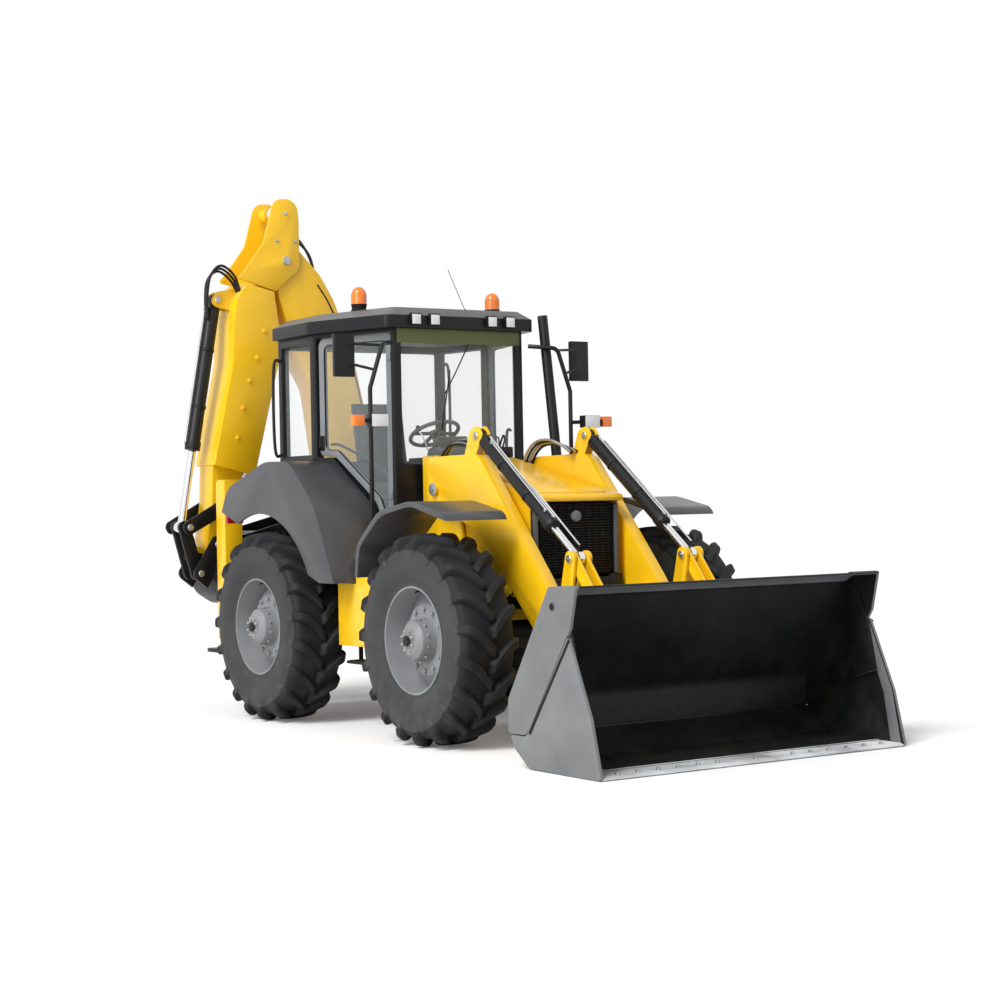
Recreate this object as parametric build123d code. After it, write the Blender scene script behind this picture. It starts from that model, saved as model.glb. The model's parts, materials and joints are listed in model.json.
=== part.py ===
from build123d import *
import os
from math import atan2, cos, degrees, hypot, pi, radians, sin, tan

# A four-wheel-steer backhoe loader. Millimetres, +X forward, +Y to the machine's left, +Z up.
# Everything is laid out from the ground under the rear axle, and save() moves it by
# frame_shift so that the origin lies under the middle of the whole machine.

# Driving dimensions: the machine
wheelbase = 2200.0
half_track = 950.0             # wheel's middle plane
wheel_radius = 705.0           # over the lugs
machine_front = 4322.0         # lip of the loader bucket
machine_rear = -1630.0         # outer side of the digging bucket
frame_shift = -(machine_front + machine_rear) / 2
running_clearance = 0.05       # pins and shafts in their bores
seat_gap = 0.3                 # between curved faces of pieces that do not touch
side_gap = 6.0                 # between plates that pass each other
pin_radius = 32.0
pin_head = 8.0                 # how far a pin's end stands out of its lug
strap_round = 0.93             # corner radius of a strap's end, of its half width

# Driving dimensions: tyres and rims
tyre_width = 440.0
tread_width = 400.0
crown_radius = 655.0           # between the tread bars
sidewall_radius = 510.0        # where the tyre is widest
bead_radius = 358.0
tread_bars = 19                # on each side
bar_width = 62.0               # along the tread
bar_lean = 120.0               # from its inner end to its outer end, along the tread
bar_overlap = 8.0              # past the tread's middle
bar_root = 600.0               # radius that it is rooted at
rim_width = 400.0
rim_flange_radius = 376.0
rim_wall = 12.0
disc_offset = 40.0             # wheel disc, outward of the middle plane
disc_thickness = 18.0
hub_radius = 150.0
hub_length = 150.0
wheel_bolt_circle = 205.0
wheel_bolts = 12

# Driving dimensions: axles and steering
axle_height = wheel_radius
kingpin_y = 720.0
axle_tube_radius = 95.0
diff_radius = 175.0
nose_length = 235.0            # axle's middle to the propeller shaft's flange
fork_height = 150.0            # from the axle's height to a fork arm's middle
fork_thickness = 44.0
knuckle_radius = 85.0
spindle_radius = 60.0
steer_angle = 18.0

# Driving dimensions: chassis
rail_y = 330.0
rail_width = 100.0
rail_bottom = 880.0
rail_height = 220.0
rail_front = 2480.0
rail_rear = -860.0
tower_thickness = 24.0

# Loader: points in the side view, x and z
arm_y = 460.0
arm_thickness = 90.0
arm_pivot = (1500.0, 1700.0)
lift_base = (1330.0, 930.0)
lift_eye = (2320.0, 1030.0)
tilt_base = (2015.0, 2060.0)
tilt_eye = (3120.0, 1235.0)
lever_pivot = (3000.0, 660.0)
bucket_pivot = (3290.0, 300.0)
link_eye = (3500.0, 780.0)
cross_tube = (2680.0, 960.0)
cross_tube_radius = 60.0
link_gap = 33.0                # link plate's inner face to the arm's middle plane
link_thickness = 12.0
lift_range = (0.0, 82.0)
bucket_range = (-70.0, 32.0)
clam_pivot = (3875.0, 987.0)
clam_range = (0.0, 60.0)

# Loader bucket
bucket_half_width = 1215.0
bucket_plate = 16.0
bucket_side = 20.0
clam_gap = 6.0
cutting_edge_depth = 230.0
cutting_edge_thickness = 25.0
edge_hole_radius = 10.5
edge_hole_spacing = 300.0

# Backhoe: it is parked across the rear, so its points are y and z in its own plane
hoe_x = -1350.0
swing_y = 600.0
boom_pivot = (340.0, 950.0)
dipper_pivot = (-220.0, 3600.0)
dipper_eye = (-230.0, 4000.0)
dipper_base = (340.0, 2720.0)
boom_base = (700.0, 1300.0)
boom_eye = (420.0, 2480.0)
crowd_base = (-790.0, 3270.0)
crowd_eye = (-1120.0, 1440.0)
rocker_pivot = (-800.0, 1610.0)
hoe_bucket_pivot = (-870.0, 1300.0)
hoe_link_eye = (-1020.0, 1070.0)
boom_width = 300.0
dipper_width = 360.0
tip_width = 240.0
hoe_bucket_width = 560.0
hoe_plate = 20.0
carriage_half = 200.0
swing_low = 560.0
swing_high = 1080.0
swing_lug = 80.0
swing_root = 105.0             # half the lug's width at the carriage
swing_lug_thickness = 50.0
swing_pin = 45.0
shift_travel = 1200.0
extension_travel = 1000.0
swing_range = (-180.0, 0.0)
boom_range = (0.0, 110.0)
dipper_range = (-100.0, 0.0)
hoe_bucket_range = (-120.0, 0.0)

# Stabilisers and slide frame
stabiliser_x = -930.0
stabiliser_y = 900.0
stabiliser_size = 150.0
stabiliser_wall = 10.0
stabiliser_bottom = 560.0
stabiliser_top = 1800.0
foot_height = 460.0
foot_length = 190.0
foot_width = 330.0
stabiliser_travel = 560.0
slide_front = -860.0
slide_rear = -1000.0
slide_low = 620.0
slide_high = 1220.0
slide_rail_height = 110.0

slide_top = (-410.0, 3360.0)   # the extension slides from here
slide_bottom = (-780.0, 1870.0)
inner_box_depth = 180.0
inner_box_length = 1340.0
extension_wall = 40.0
rocker_gap = 154.0
hoe_teeth = 5

# Cab
cab_front = 1060.0
cab_front_half = 560.0
cab_mid = 300.0
cab_mid_half = 800.0
cab_rear = -360.0
cab_rear_half = 740.0
cab_floor = 1450.0
cab_sill = 1930.0
cab_top = 2870.0
roof_top = 3020.0
post_size = 60.0
glass_thickness = 6.0
footwell_rear = 840.0
footwell_floor = 1100.0
footwell_half = 560.0
door_thickness = 40.0
door_gap = 8.0
door_swing = 70.0
hinge_radius = 7.0              # of the doors
hinge_heights = (1640.0, 2640.0)
hinge_height = 60.0
door_line = ((1022.0, 571.0), (352.0, 787.0))   # plan of the cab's side along the door

windscreen_half = 500.0
windscreen_low = 1880.0
fender_in = 640.0
fender_out = 1120.0
arch_radius = 840.0
fender_bracket = 1240.0        # its top
beacon_x = 630.0
beacon_y = 590.0
roof_front = 1105.0
work_lamp_y = (410.0, 250.0)
lamp_post = (1240.0, 870.0, 2185.0)    # tube, and the headlamp's height

# Hood
hood_front = 2520.0
hood_rear = 1120.0
hood_half = 372.0
hood_front_z = 1640.0
hood_rear_z = 1945.0
hood_bottom = 1100.0
hood_wall = 14.0
grille_x = 2450.0


def outline(rows):
    """Face in a plane from rows of (first coordinate, second coordinate, corner radius)."""
    edges = []
    count = len(rows)
    ends = []
    for i, (u, v, r) in enumerate(rows):
        if r == 0:
            ends.append(((u, v), None, (u, v)))
            continue
        a, b = rows[i - 1], rows[(i + 1) % count]
        ua, va = a[0] - u, a[1] - v
        ub, vb = b[0] - u, b[1] - v
        la, lb = hypot(ua, va), hypot(ub, vb)
        ua, va, ub, vb = ua / la, va / la, ub / lb, vb / lb
        half = abs(atan2(ua * vb - va * ub, ua * ub + va * vb)) / 2
        reach = r / tan(half)
        mu, mv = ua + ub, va + vb
        lm = hypot(mu, mv)
        away = r / sin(half) - r
        middle = (u + mu / lm * away, v + mv / lm * away)
        ends.append(((u + ua * reach, v + va * reach), middle, (u + ub * reach, v + vb * reach)))
    for i, (start, middle, end) in enumerate(ends):
        if middle:
            edges.append(ThreePointArc(start, middle, end))
        following = ends[(i + 1) % count][0]
        if hypot(following[0] - end[0], following[1] - end[1]) > 1e-6:
            edges.append(Line(end, following))
    return make_face(edges)


def side_plate(rows, y_from, y_to):
    """Plate of a side-view outline (x, z, radius), between two y."""
    face = Plane((0, y_to, 0), x_dir=(1, 0, 0), z_dir=(0, -1, 0)) * outline(rows)
    return extrude(face, amount=y_to - y_from)


def rear_plate(rows, x_from, x_to):
    """Plate of an outline seen from the rear (y, z, radius), between two x."""
    face = Plane((x_from, 0, 0), x_dir=(0, 1, 0), z_dir=(1, 0, 0)) * outline(rows)
    return extrude(face, amount=x_to - x_from)


def top_plate(rows, z_from, z_to):
    """Plate of a plan outline (x, y, radius), between two z."""
    return extrude(Plane.XY.offset(z_from) * outline(rows), amount=z_to - z_from)


def block(x_from, x_to, y_from, y_to, z_from, z_to):
    """Box between its limits on each axis."""
    box = Box(x_to - x_from, y_to - y_from, z_to - z_from)
    return Pos((x_from + x_to) / 2, (y_from + y_to) / 2, (z_from + z_to) / 2) * box


def rod(start, end, radius):
    """Round bar from one point to another."""
    line = Vector(*end) - Vector(*start)
    turned = Plane(origin=start, z_dir=line)
    return turned * Cylinder(radius, line.length, align=(Align.CENTER, Align.CENTER, Align.MIN))


def pin_y(point, y_from, y_to, radius):
    """Round bar across the machine at a side-view point."""
    return rod((point[0], y_from, point[1]), (point[0], y_to, point[1]), radius)


def pin_x(point, x_from, x_to, radius):
    """Round bar along the machine at a rear-view point."""
    return rod((x_from, point[0], point[1]), (x_to, point[0], point[1]), radius)


def mirrored(shape):
    """The same shape on the machine's other side."""
    return mirror(shape, about=Plane.XZ)


def both_sides(shape):
    """A shape and its copy on the other side."""
    return shape + mirrored(shape)


def pipe(points, radius, bends):
    """Round pipe through points, with one bend radius for each corner."""
    path = FilletPolyline(*points, radius=bends)
    start = Plane(origin=path @ 0, z_dir=path % 0)
    return sweep(start * Circle(radius), path=path)


def save(name, shape):
    """Write one piece in the machine's own frame."""
    moved = Pos(frame_shift, 0, 0) * shape
    solids = moved.solids()
    export_step(solids[0] if len(solids) == 1 else Compound(children=solids),
                f"parts/{name}.step")


# Hydraulic cylinders

def along(start, end, distance):
    """Point at a distance from start towards end, in a plane."""
    length = hypot(end[0] - start[0], end[1] - start[1])
    return (start[0] + (end[0] - start[0]) * distance / length,
            start[1] + (end[1] - start[1]) * distance / length)


def ram_plane(start, end, across, seen):
    """Plane at a cylinder's base pin: local x runs to the rod's eye, local z along the pins."""
    if seen == "side":
        return Plane((start[0], across, start[1]), x_dir=(end[0] - start[0], 0, end[1] - start[1]),
                     z_dir=(0, -1, 0))
    return Plane((across, start[0], start[1]), x_dir=(0, end[0] - start[0], end[1] - start[1]),
                 z_dir=(1, 0, 0))


def local_bar(x_from, x_to, radius):
    """Round bar along a cylinder's own axis."""
    return Pos(x_from, 0, 0) * Rot(0, 90, 0) * Cylinder(
        radius, x_to - x_from, align=(Align.CENTER, Align.CENTER, Align.MIN))


def ram_barrel(start, end, across, seen, size):
    """Barrel of a cylinder, with its eye, end cap, gland and port blocks."""
    r = size["barrel_radius"]
    length = size["barrel_length"]
    start_of_tube = size["eye_radius"] + size["neck"]
    eye = Cylinder(size["eye_radius"], size["eye_width"])
    eye += Pos(start_of_tube / 2, 0, 0) * Box(start_of_tube + 10, size["eye_radius"] * 1.5, size["eye_width"])
    tube = local_bar(start_of_tube, length, r)
    gland = local_bar(length - size["gland_length"], length, r * 1.12)
    port = Pos(start_of_tube + r * 0.6, size["port_side"] * r * 0.75, 0) * Box(r * 0.9, r, r * 0.8)
    shape = eye + tube + gland + port
    shape -= Cylinder(pin_radius + running_clearance, size["eye_width"] * 2)
    shape -= local_bar(start_of_tube + 12, length + 1, size["rod_radius"] + seat_gap)
    return ram_plane(start, end, across, seen) * shape


def ram_rod(start, end, across, seen, size):
    """Rod of a cylinder, from its inner end to the eye."""
    length = hypot(end[0] - start[0], end[1] - start[1])
    end_of_bar = length - size["eye_radius"] * 0.6
    bar = local_bar(size["rod_start"], end_of_bar, size["rod_radius"])
    eye = Pos(length, 0, 0) * Cylinder(size["eye_radius"], size["eye_width"])
    return ram_plane(start, end, across, seen) * (bar + eye)


ram_defaults = {"eye_radius": 52.0, "eye_width": 60.0, "neck": 20.0, "gland_length": 70.0, "port_side": 1}
lift_ram = dict(ram_defaults, barrel_radius=50.0, rod_radius=28.0, barrel_length=910.0,
                rod_start=90.0)
tilt_ram = dict(ram_defaults, barrel_radius=46.0, rod_radius=24.0, barrel_length=1040.0,
                rod_start=337.0, eye_width=40.0, eye_radius=46.0)
boom_ram = dict(ram_defaults, barrel_radius=68.0, rod_radius=38.0, barrel_length=1080.0,
                rod_start=120.0, eye_width=90.0, eye_radius=60.0, neck=40.0, port_side=-1)
dipper_ram = dict(ram_defaults, barrel_radius=60.0, rod_radius=34.0, barrel_length=740.0,
                  rod_start=660.0, eye_width=90.0, eye_radius=56.0, port_side=-1)
crowd_ram = dict(ram_defaults, barrel_radius=56.0, rod_radius=32.0, barrel_length=1230.0,
                 rod_start=620.0, eye_width=80.0, eye_radius=50.0, port_side=-1)


# Wheels

def carcass_ring(y, radius):
    """Section of the faceted carcass across the wheel's axis."""
    return Plane((0, y, 0), x_dir=(1, 0, 0), z_dir=(0, 1, 0)) * RegularPolygon(radius, tread_bars)


def tread_bar():
    """Tread bar on the left, at the tyre's top: its inner end leads, and it falls away at the shoulder."""
    half = tyre_width / 2
    middle = (bar_lean + bar_width) / 2
    top = (wheel_radius**2 - middle**2) ** 0.5
    plan = [(middle - bar_width, -bar_overlap, 0), (middle, -bar_overlap, 0),
            (bar_width - middle, half, 0), (-middle, half, 0)]
    profile = [(-bar_overlap, bar_root, 0), (-bar_overlap, top, 0), (tread_width * 0.42, top - 3, 0),
               (half - 3, crown_radius - 15, 0), (half - 3, bar_root, 0)]
    return top_plate(plan, bar_root, top) & rear_plate(profile, -middle, middle)


def tyre():
    """Tyre about the y axis at the origin, its tread bars fused to the carcass as a chevron."""
    bead = rim_width / 2 - rim_wall - seat_gap
    left = [(bead, rim_flange_radius + 6), (tyre_width / 2 - 1, sidewall_radius), (tread_width / 2, crown_radius)]
    rings = [(-y, radius) for y, radius in left] + left[::-1]
    shape = loft([carcass_ring(y, radius) for y, radius in rings], ruled=True)
    bore = Plane((0, -tyre_width, 0), x_dir=(1, 0, 0), z_dir=(0, 1, 0)) * RegularPolygon(
        bead_radius, tread_bars, major_radius=False)
    shape -= extrude(bore, amount=2 * tyre_width)
    pitch = 360 / tread_bars
    bar = tread_bar()
    bars = [Rot(0, i * pitch, 0) * bar for i in range(tread_bars)]
    bars += [Rot(0, (i + 0.5) * pitch, 0) * mirrored(bar) for i in range(tread_bars)]
    corner = degrees(atan2(bar.bounding_box().max.X, bar.bounding_box().max.Z))
    on_a_corner = Rot(0, pitch / 2 - corner, 0)
    return on_a_corner * shape.fuse(*bars)


def rim(outward):
    """Rim, disc and planetary hub about the y axis; outward is +1 on the left."""
    half = rim_width / 2
    barrel = Pos(0, 0, 0) * Rot(90, 0, 0) * Cylinder(bead_radius - seat_gap, rim_width)
    for side in (-1, 1):
        flange = Rot(90, 0, 0) * Cylinder(rim_flange_radius, rim_wall)
        barrel += Pos(0, side * (half - rim_wall / 2), 0) * flange
    barrel -= Rot(90, 0, 0) * Cylinder(bead_radius - seat_gap - rim_wall, rim_width + 2)
    disc_rows = [(spindle_radius + 40, disc_offset + 60, 0), (hub_radius + 80, disc_offset + 60, 40),
                 (bead_radius - rim_wall, disc_offset - 30, 0), (bead_radius - rim_wall, disc_offset - 48, 0),
                 (hub_radius + 74, disc_offset + 42, 40), (spindle_radius + 40, disc_offset + 42, 0)]
    disc = revolve(Plane.XY * outline(disc_rows), axis=Axis.Y)
    hub_rows = [(0, disc_offset + 190, 0), (hub_radius - 60, disc_offset + 190, 20),
                (hub_radius - 20, disc_offset + 160, 20), (hub_radius, disc_offset + 60, 0),
                (hub_radius, disc_offset - 30, 0), (hub_radius - 30, disc_offset - 110, 0),
                (spindle_radius + running_clearance, disc_offset - 110, 0),
                (spindle_radius + running_clearance, disc_offset + 30, 0), (0, disc_offset + 30, 0)]
    hub = revolve(Plane.XY * outline(hub_rows), axis=Axis.Y)
    shape = barrel + disc + hub
    for i in range(wheel_bolts):
        turn = Rot(0, 360 * i / wheel_bolts, 0)
        shape += turn * Pos(wheel_bolt_circle, disc_offset + 66, 0) * Rot(90, 0, 0) * Cylinder(15, 26)
    return shape if outward > 0 else mirrored(shape)


def knuckle(outward):
    """Steering knuckle with its spindle, about the kingpin at the origin."""
    gap = half_track - kingpin_y
    body = Cylinder(knuckle_radius, 2 * fork_height - fork_thickness - 2 * side_gap)
    spindle = rod((0, 0, 0), (0, gap + disc_offset + 20, 0), spindle_radius)
    collar = rod((0, 0, 0), (0, gap + disc_offset - 112, 0), spindle_radius + 30)
    shape = body + collar + spindle
    for side in (-1, 1):
        pin_length = fork_height + fork_thickness
        shape += Pos(0, 0, side * pin_length / 2) * Cylinder(pin_radius, pin_length)
    shape += Pos(-110, -20, -60) * Box(150, 40, 30)
    return shape if outward > 0 else mirrored(shape)


def axle_beam():
    """Axle housing with the forks at its ends, about the machine's middle at axle height."""
    fork_inner = kingpin_y - knuckle_radius - 25
    shape = rod((0, -fork_inner, 0), (0, fork_inner, 0), axle_tube_radius)
    shape += Rot(90, 0, 0) * Cylinder(diff_radius, 150)
    for side in (-1, 1):
        shape += Pos(0, side * 75, 0) * Rot(-90 * side, 0, 0) * Cone(
            diff_radius, axle_tube_radius + 5, 110, align=(Align.CENTER, Align.CENTER, Align.MIN))
    shape += rod((-nose_length, 0, 0), (0, 0, 0), 90)
    for side in (-1, 1):
        web = block(-70, 70, fork_inner - 40, fork_inner, -fork_height - 20, fork_height + 20)
        shape += web if side > 0 else mirrored(web)
        for level in (-1, 1):
            z = level * fork_height
            arm = block(-70, 70, fork_inner - 40, kingpin_y, z - fork_thickness / 2, z + fork_thickness / 2)
            arm += Pos(0, kingpin_y, z) * Cylinder(70, fork_thickness)
            arm -= Pos(0, kingpin_y, z) * Cylinder(pin_radius + running_clearance, fork_thickness * 2)
            shape += arm if side > 0 else mirrored(arm)
    return shape


# Chassis

def chassis():
    """Rails, cross members, loader towers, rear slide frame and stabiliser tubes in one weldment."""
    rail_top = rail_bottom + rail_height
    half = rail_width / 2
    side = block(rail_rear, rail_front, rail_y - half, rail_y + half, rail_bottom, rail_top)
    tower_rows = [(1260, rail_bottom, 0), (1720, rail_bottom, 0), (1700, 1300, 60), (1600, 1790, 60),
                  (1400, 1790, 60), (1330, 1300, 60)]
    inner = rail_y + half + side_gap
    side += side_plate(tower_rows, inner, inner + tower_thickness)
    side += block(1300, 1700, rail_y + half, inner, rail_bottom + 20, rail_top)
    lift_lug = [(1230, 840, 0), (1372, 840, 0), (1384, 975, 50), (1270, 985, 50)]
    lug_y = ram_defaults["eye_width"] / 2 + side_gap
    for y in (arm_y - lug_y - 15, arm_y + lug_y):
        side += side_plate(lift_lug, y, y + 15)
    side += block(1230, 1372, rail_y, arm_y + lug_y + 15, rail_bottom - 60, rail_bottom - 20)
    side += block(1230, 1372, rail_y - half, rail_y + half, rail_bottom - 60, rail_bottom + 1)
    side += pin_y(lift_base, arm_y - lug_y - 15, arm_y + lug_y + 15 + pin_head, pin_radius)
    side += pin_y(arm_pivot, inner, arm_y + arm_thickness / 2 + 24, pin_radius + 8)
    shape = both_sides(side)
    for x in (-820, -300, 620, 1180, 2390):
        shape += block(x, x + 80, -rail_y, rail_y, rail_bottom + 20, rail_top - 20)
    for x in (0, wheelbase):
        shape += block(x - 150, x + 150, -120, 120, axle_height + diff_radius + seat_gap, rail_top - 20)
        shape += block(x - 150, x + 150, -rail_y, rail_y, rail_bottom + 20, rail_top - 20)
    shape += rear_frame()
    return shape


def rear_frame():
    """Slide frame across the rear, with the stabilisers' outer tubes at its ends."""
    reach = stabiliser_y
    shape = None
    for z in (slide_low, slide_high):
        beam = block(slide_rear, slide_front, -reach, reach, z - slide_rail_height / 2, z + slide_rail_height / 2)
        shape = beam if shape is None else shape + beam
    for y in (-rail_y, rail_y):
        shape += block(slide_rear + 40, slide_front, y - 40, y + 40, slide_low, slide_high)
    half = stabiliser_size / 2
    hollow = half - stabiliser_wall
    for side in (-1, 1):
        y = side * stabiliser_y
        shape += block(stabiliser_x - half, stabiliser_x + half, y - half, y + half,
                       stabiliser_bottom, stabiliser_top)
        shape -= block(stabiliser_x - hollow, stabiliser_x + hollow, y - hollow, y + hollow,
                       stabiliser_bottom - 1, stabiliser_top - stabiliser_wall)
    return shape


def stabiliser_leg():
    """Inner leg of a stabiliser with its foot, on the left."""
    inner = stabiliser_size / 2 - stabiliser_wall - running_clearance
    shape = block(stabiliser_x - inner, stabiliser_x + inner, stabiliser_y - inner, stabiliser_y + inner,
                  foot_height + 30, stabiliser_top - stabiliser_wall - 30)
    shape += block(stabiliser_x - foot_length / 2, stabiliser_x + foot_length / 2,
                   stabiliser_y - foot_width / 2, stabiliser_y + foot_width / 2, foot_height, foot_height + 30)
    for y in (-60, 50):
        rib = [(stabiliser_x - 80, foot_height + 30, 0), (stabiliser_x + 80, foot_height + 30, 0),
               (stabiliser_x + 60, foot_height + 85, 0), (stabiliser_x - 60, foot_height + 85, 0)]
        shape += side_plate(rib, stabiliser_y + y - 5, stabiliser_y + y + 15)
    return shape


def engine():
    """Engine as one plain block."""
    return block(1330, 2150, -250, 250, 1080, 1560)


def driveline():
    """Gearbox under the cab and the propeller shafts to both axles."""
    shape = block(700, 1170, -180, 180, 620, 1000) + block(760, 1100, -rail_y + 50, rail_y - 50, 900, 1000)
    shape += rod((1170, 0, axle_height), (wheelbase - nose_length, 0, axle_height), 42)
    shape += rod((nose_length, 0, axle_height), (700, 0, axle_height), 42)
    for x in (1170, wheelbase - nose_length - 30, nose_length, 670):
        shape += rod((x, 0, axle_height), (x + 30, 0, axle_height), 75)
    return shape


# Loader

arm_rows = [(1385, 1620, 60), (1385, 1925, 60), (2000, 1935, 60), (2070, 1900, 60), (2790, 1090, 200),
            (3381, 327, 85), (3371, 218, 60), (3200, 222, 80), (2520, 915, 200), (2050, 1400, 200)]
lift_lug_rows = [(2180, 1330, 0), (2480, 1120, 0), (2400, 990, 40), (2320, 955, 50), (2250, 1000, 40)]
tilt_lug_rows = [(1850, 1900, 0), (1935, 2100, 60), (2035, 2130, 50), (2090, 2066, 30), (1972, 1880, 0)]


def loader_arms():
    """Both arms, joined by their cross tube, with the lugs of the cylinders."""
    inner, outer = arm_y - arm_thickness / 2, arm_y + arm_thickness / 2
    side = side_plate(arm_rows, inner, outer)
    lift_gap = ram_defaults["eye_width"] / 2 + side_gap
    tilt_gap = tilt_ram["eye_width"] / 2 + side_gap
    for rows, gap, point in ((lift_lug_rows, lift_gap, lift_eye), (tilt_lug_rows, tilt_gap, tilt_base)):
        pair = side_plate(rows, arm_y - gap - 9, arm_y + gap + 9)
        pair -= side_plate([(point[0] - 160, point[1] - 160, 0), (point[0] + 160, point[1] - 160, 0),
                            (point[0] + 160, point[1] + 160, 0), (point[0] - 160, point[1] + 160, 0)],
                           arm_y - gap, arm_y + gap) & side_plate(rows, inner, outer)
        side += pair - side_plate(arm_rows, inner, outer)
    for dy in (-1, 1):
        start = arm_y + dy * (lift_gap + 9)
        side += pin_y(lift_eye, min(start, start + dy * pin_head), max(start, start + dy * pin_head), 40)
    side += pin_y(tilt_base, arm_y - tilt_gap - 15, arm_y + tilt_gap + 15, pin_radius)
    side += pin_y(lever_pivot, inner - side_gap - 20 - pin_head, outer + side_gap + 20 + pin_head, pin_radius)
    side -= pin_y(arm_pivot, inner - 5, outer + 5, pin_radius + 8 + running_clearance)
    side -= pin_y(bucket_pivot, inner - 5, outer + 5, pin_radius + running_clearance)
    shape = both_sides(side)
    shape += pin_y(cross_tube, -inner, inner, cross_tube_radius)
    return shape


def lug_pair(rows, gap, thickness):
    """Two like plates either side of the arm's middle plane."""
    near = side_plate(rows, arm_y - gap - thickness, arm_y - gap)
    far = side_plate(rows, arm_y + gap, arm_y + gap + thickness)
    return near + far


def strap_rows(start, end, start_radius, end_radius):
    """Outline of a strap with round ends, from one pin to another."""
    length = hypot(end[0] - start[0], end[1] - start[1])
    ux, uz = (end[0] - start[0]) / length, (end[1] - start[1]) / length
    nx, nz = -uz, ux
    rows = []
    for point, out, radius, first in ((start, -1, start_radius, 1), (end, 1, end_radius, -1)):
        for side in (first, -first):
            rows.append((point[0] + ux * out * radius + nx * side * radius,
                         point[1] + uz * out * radius + nz * side * radius, radius * strap_round))
    return rows


def levers():
    """Tilt levers: a pair of plates on each arm."""
    gap = arm_thickness / 2 + side_gap
    rows = strap_rows(lever_pivot, tilt_eye, 80, 50)
    plates = lug_pair(rows, gap, 20)
    plates -= pin_y(lever_pivot, 0, 2 * arm_y, pin_radius + running_clearance)
    for dy in (-1, 1):
        near = arm_y + dy * link_gap
        far = arm_y + dy * (gap + 20 + pin_head)
        plates += pin_y(tilt_eye, min(near, far), max(near, far), pin_radius)
    return both_sides(plates)


def tilt_links():
    """Links from the levers to the bucket's upper lugs."""
    rows = strap_rows(tilt_eye, link_eye, 46, 46)
    plates = lug_pair(rows, link_gap, link_thickness)
    plates -= pin_y(tilt_eye, 0, 2 * arm_y, pin_radius + running_clearance)
    for dy in (-1, 1):
        near, far = arm_y + dy * (link_gap + link_thickness), arm_y + dy * (link_gap + link_thickness + 5)
        plates += pin_y(link_eye, min(near, far), max(near, far), pin_radius)
    return both_sides(plates)


# Rows of the bucket's side view
back_side_rows = [(3395, 205, 20), (3560, 205, 0), (3610, 228, 0), (4050, 865, 0), (4112, 1118, 15),
                  (3838, 1104, 40), (3398, 410, 60)]
clam_side_rows = [(3600, 12, 40), (4300, 0, 0), (4322, 18, 0), (4235, 355, 60), (4035, 800, 0),
                  (4018, 808, 0), (3618, 226, 0), (3566, 197, 0), (3412, 197, 15), (3470, 110, 60)]
moldboard_rows = [(3410, 205), (3410, 415), (3842, 1090), (4112, 1104)]


def sheet(points, bends, thickness, half_width):
    """Bent plate along a side-view path, across the machine."""
    path = FilletPolyline(*points, radius=bends)
    line = offset(path, amount=thickness / 2, side=Side.BOTH)
    face = make_face(line.edges())
    return extrude(Plane((0, half_width, 0), x_dir=(1, 0, 0), z_dir=(0, -1, 0)) * face, amount=2 * half_width)


def bucket_back():
    """Fixed rear part of the loader bucket: moldboard, sides, top beam and lugs."""
    inner = bucket_half_width - bucket_side
    shape = sheet(moldboard_rows, [150, 150], bucket_plate, inner + 1)
    side = side_plate(back_side_rows, inner, bucket_half_width)
    side -= pin_y(clam_pivot, inner - 5, bucket_half_width + 5, 24)
    shape += both_sides(side)
    lug_rows = [(3300, 205, 80), (3412, 205, 0), (3412, 400, 0), (3432, 455, 0), (3210, 380, 80), (3210, 215, 80)]
    gap = arm_thickness / 2 + side_gap
    lugs = lug_pair(lug_rows, gap, 20)
    lugs += pin_y(bucket_pivot, arm_y - gap - 20 - pin_head, arm_y + gap + 20 + pin_head, pin_radius)
    upper_rows = [(3448, 474, 0), (3648, 786, 0), (3560, 850, 40), (3440, 850, 50), (3430, 700, 40)]
    lugs += side_plate(upper_rows, arm_y - 18, arm_y + 18)
    return shape + both_sides(lugs)


def bucket_clam():
    """Opening front part of the loader bucket: floor, cutting edge, sides and hinge ears."""
    inner = bucket_half_width - bucket_side
    side = side_plate(clam_side_rows, inner, bucket_half_width)
    ear_rows = [(3840, 1030, 40), (3920, 1030, 40), (4030, 800, 40), (4100, 480, 0), (3900, 420, 0),
                (3830, 700, 80)]
    ear = side_plate(ear_rows, inner - clam_gap - 18, inner - clam_gap)
    ear += side_plate([(3900, 420, 0), (4100, 480, 0), (4060, 620, 0), (3930, 560, 0)], inner - clam_gap, inner + 1)
    ear += pin_y(clam_pivot, inner - clam_gap - 18, bucket_half_width + 4, 24 - running_clearance)
    floor_rows = [(3424, 186), (3600, 26), (4270, 14)]
    shape = sheet(floor_rows, [70], bucket_plate, inner + 1)
    shape += both_sides(side + ear)
    edge_rows = [(4322 - cutting_edge_depth, 0, 0), (4300, 0, 0), (4322, 8, 0), (4322, 12, 0),
                 (4290, cutting_edge_thickness, 0), (4322 - cutting_edge_depth, cutting_edge_thickness, 0)]
    edge = side_plate(edge_rows, -inner - 1, inner + 1)
    for side_sign in (-1, 1):
        for row in (0, 1):
            x = 4322 - 60 - row * 100
            hole = Cylinder(edge_hole_radius, 200)
            edge -= Pos(x, side_sign * edge_hole_spacing / 2, 0) * hole
            shape -= Pos(x, side_sign * edge_hole_spacing / 2, 0) * hole
    return shape + edge


# Backhoe

def lugs_x(rows, gap, thickness):
    """Two like plates either side of the backhoe's own plane."""
    return (rear_plate(rows, hoe_x - gap - thickness, hoe_x - gap)
            + rear_plate(rows, hoe_x + gap, hoe_x + gap + thickness))


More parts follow.
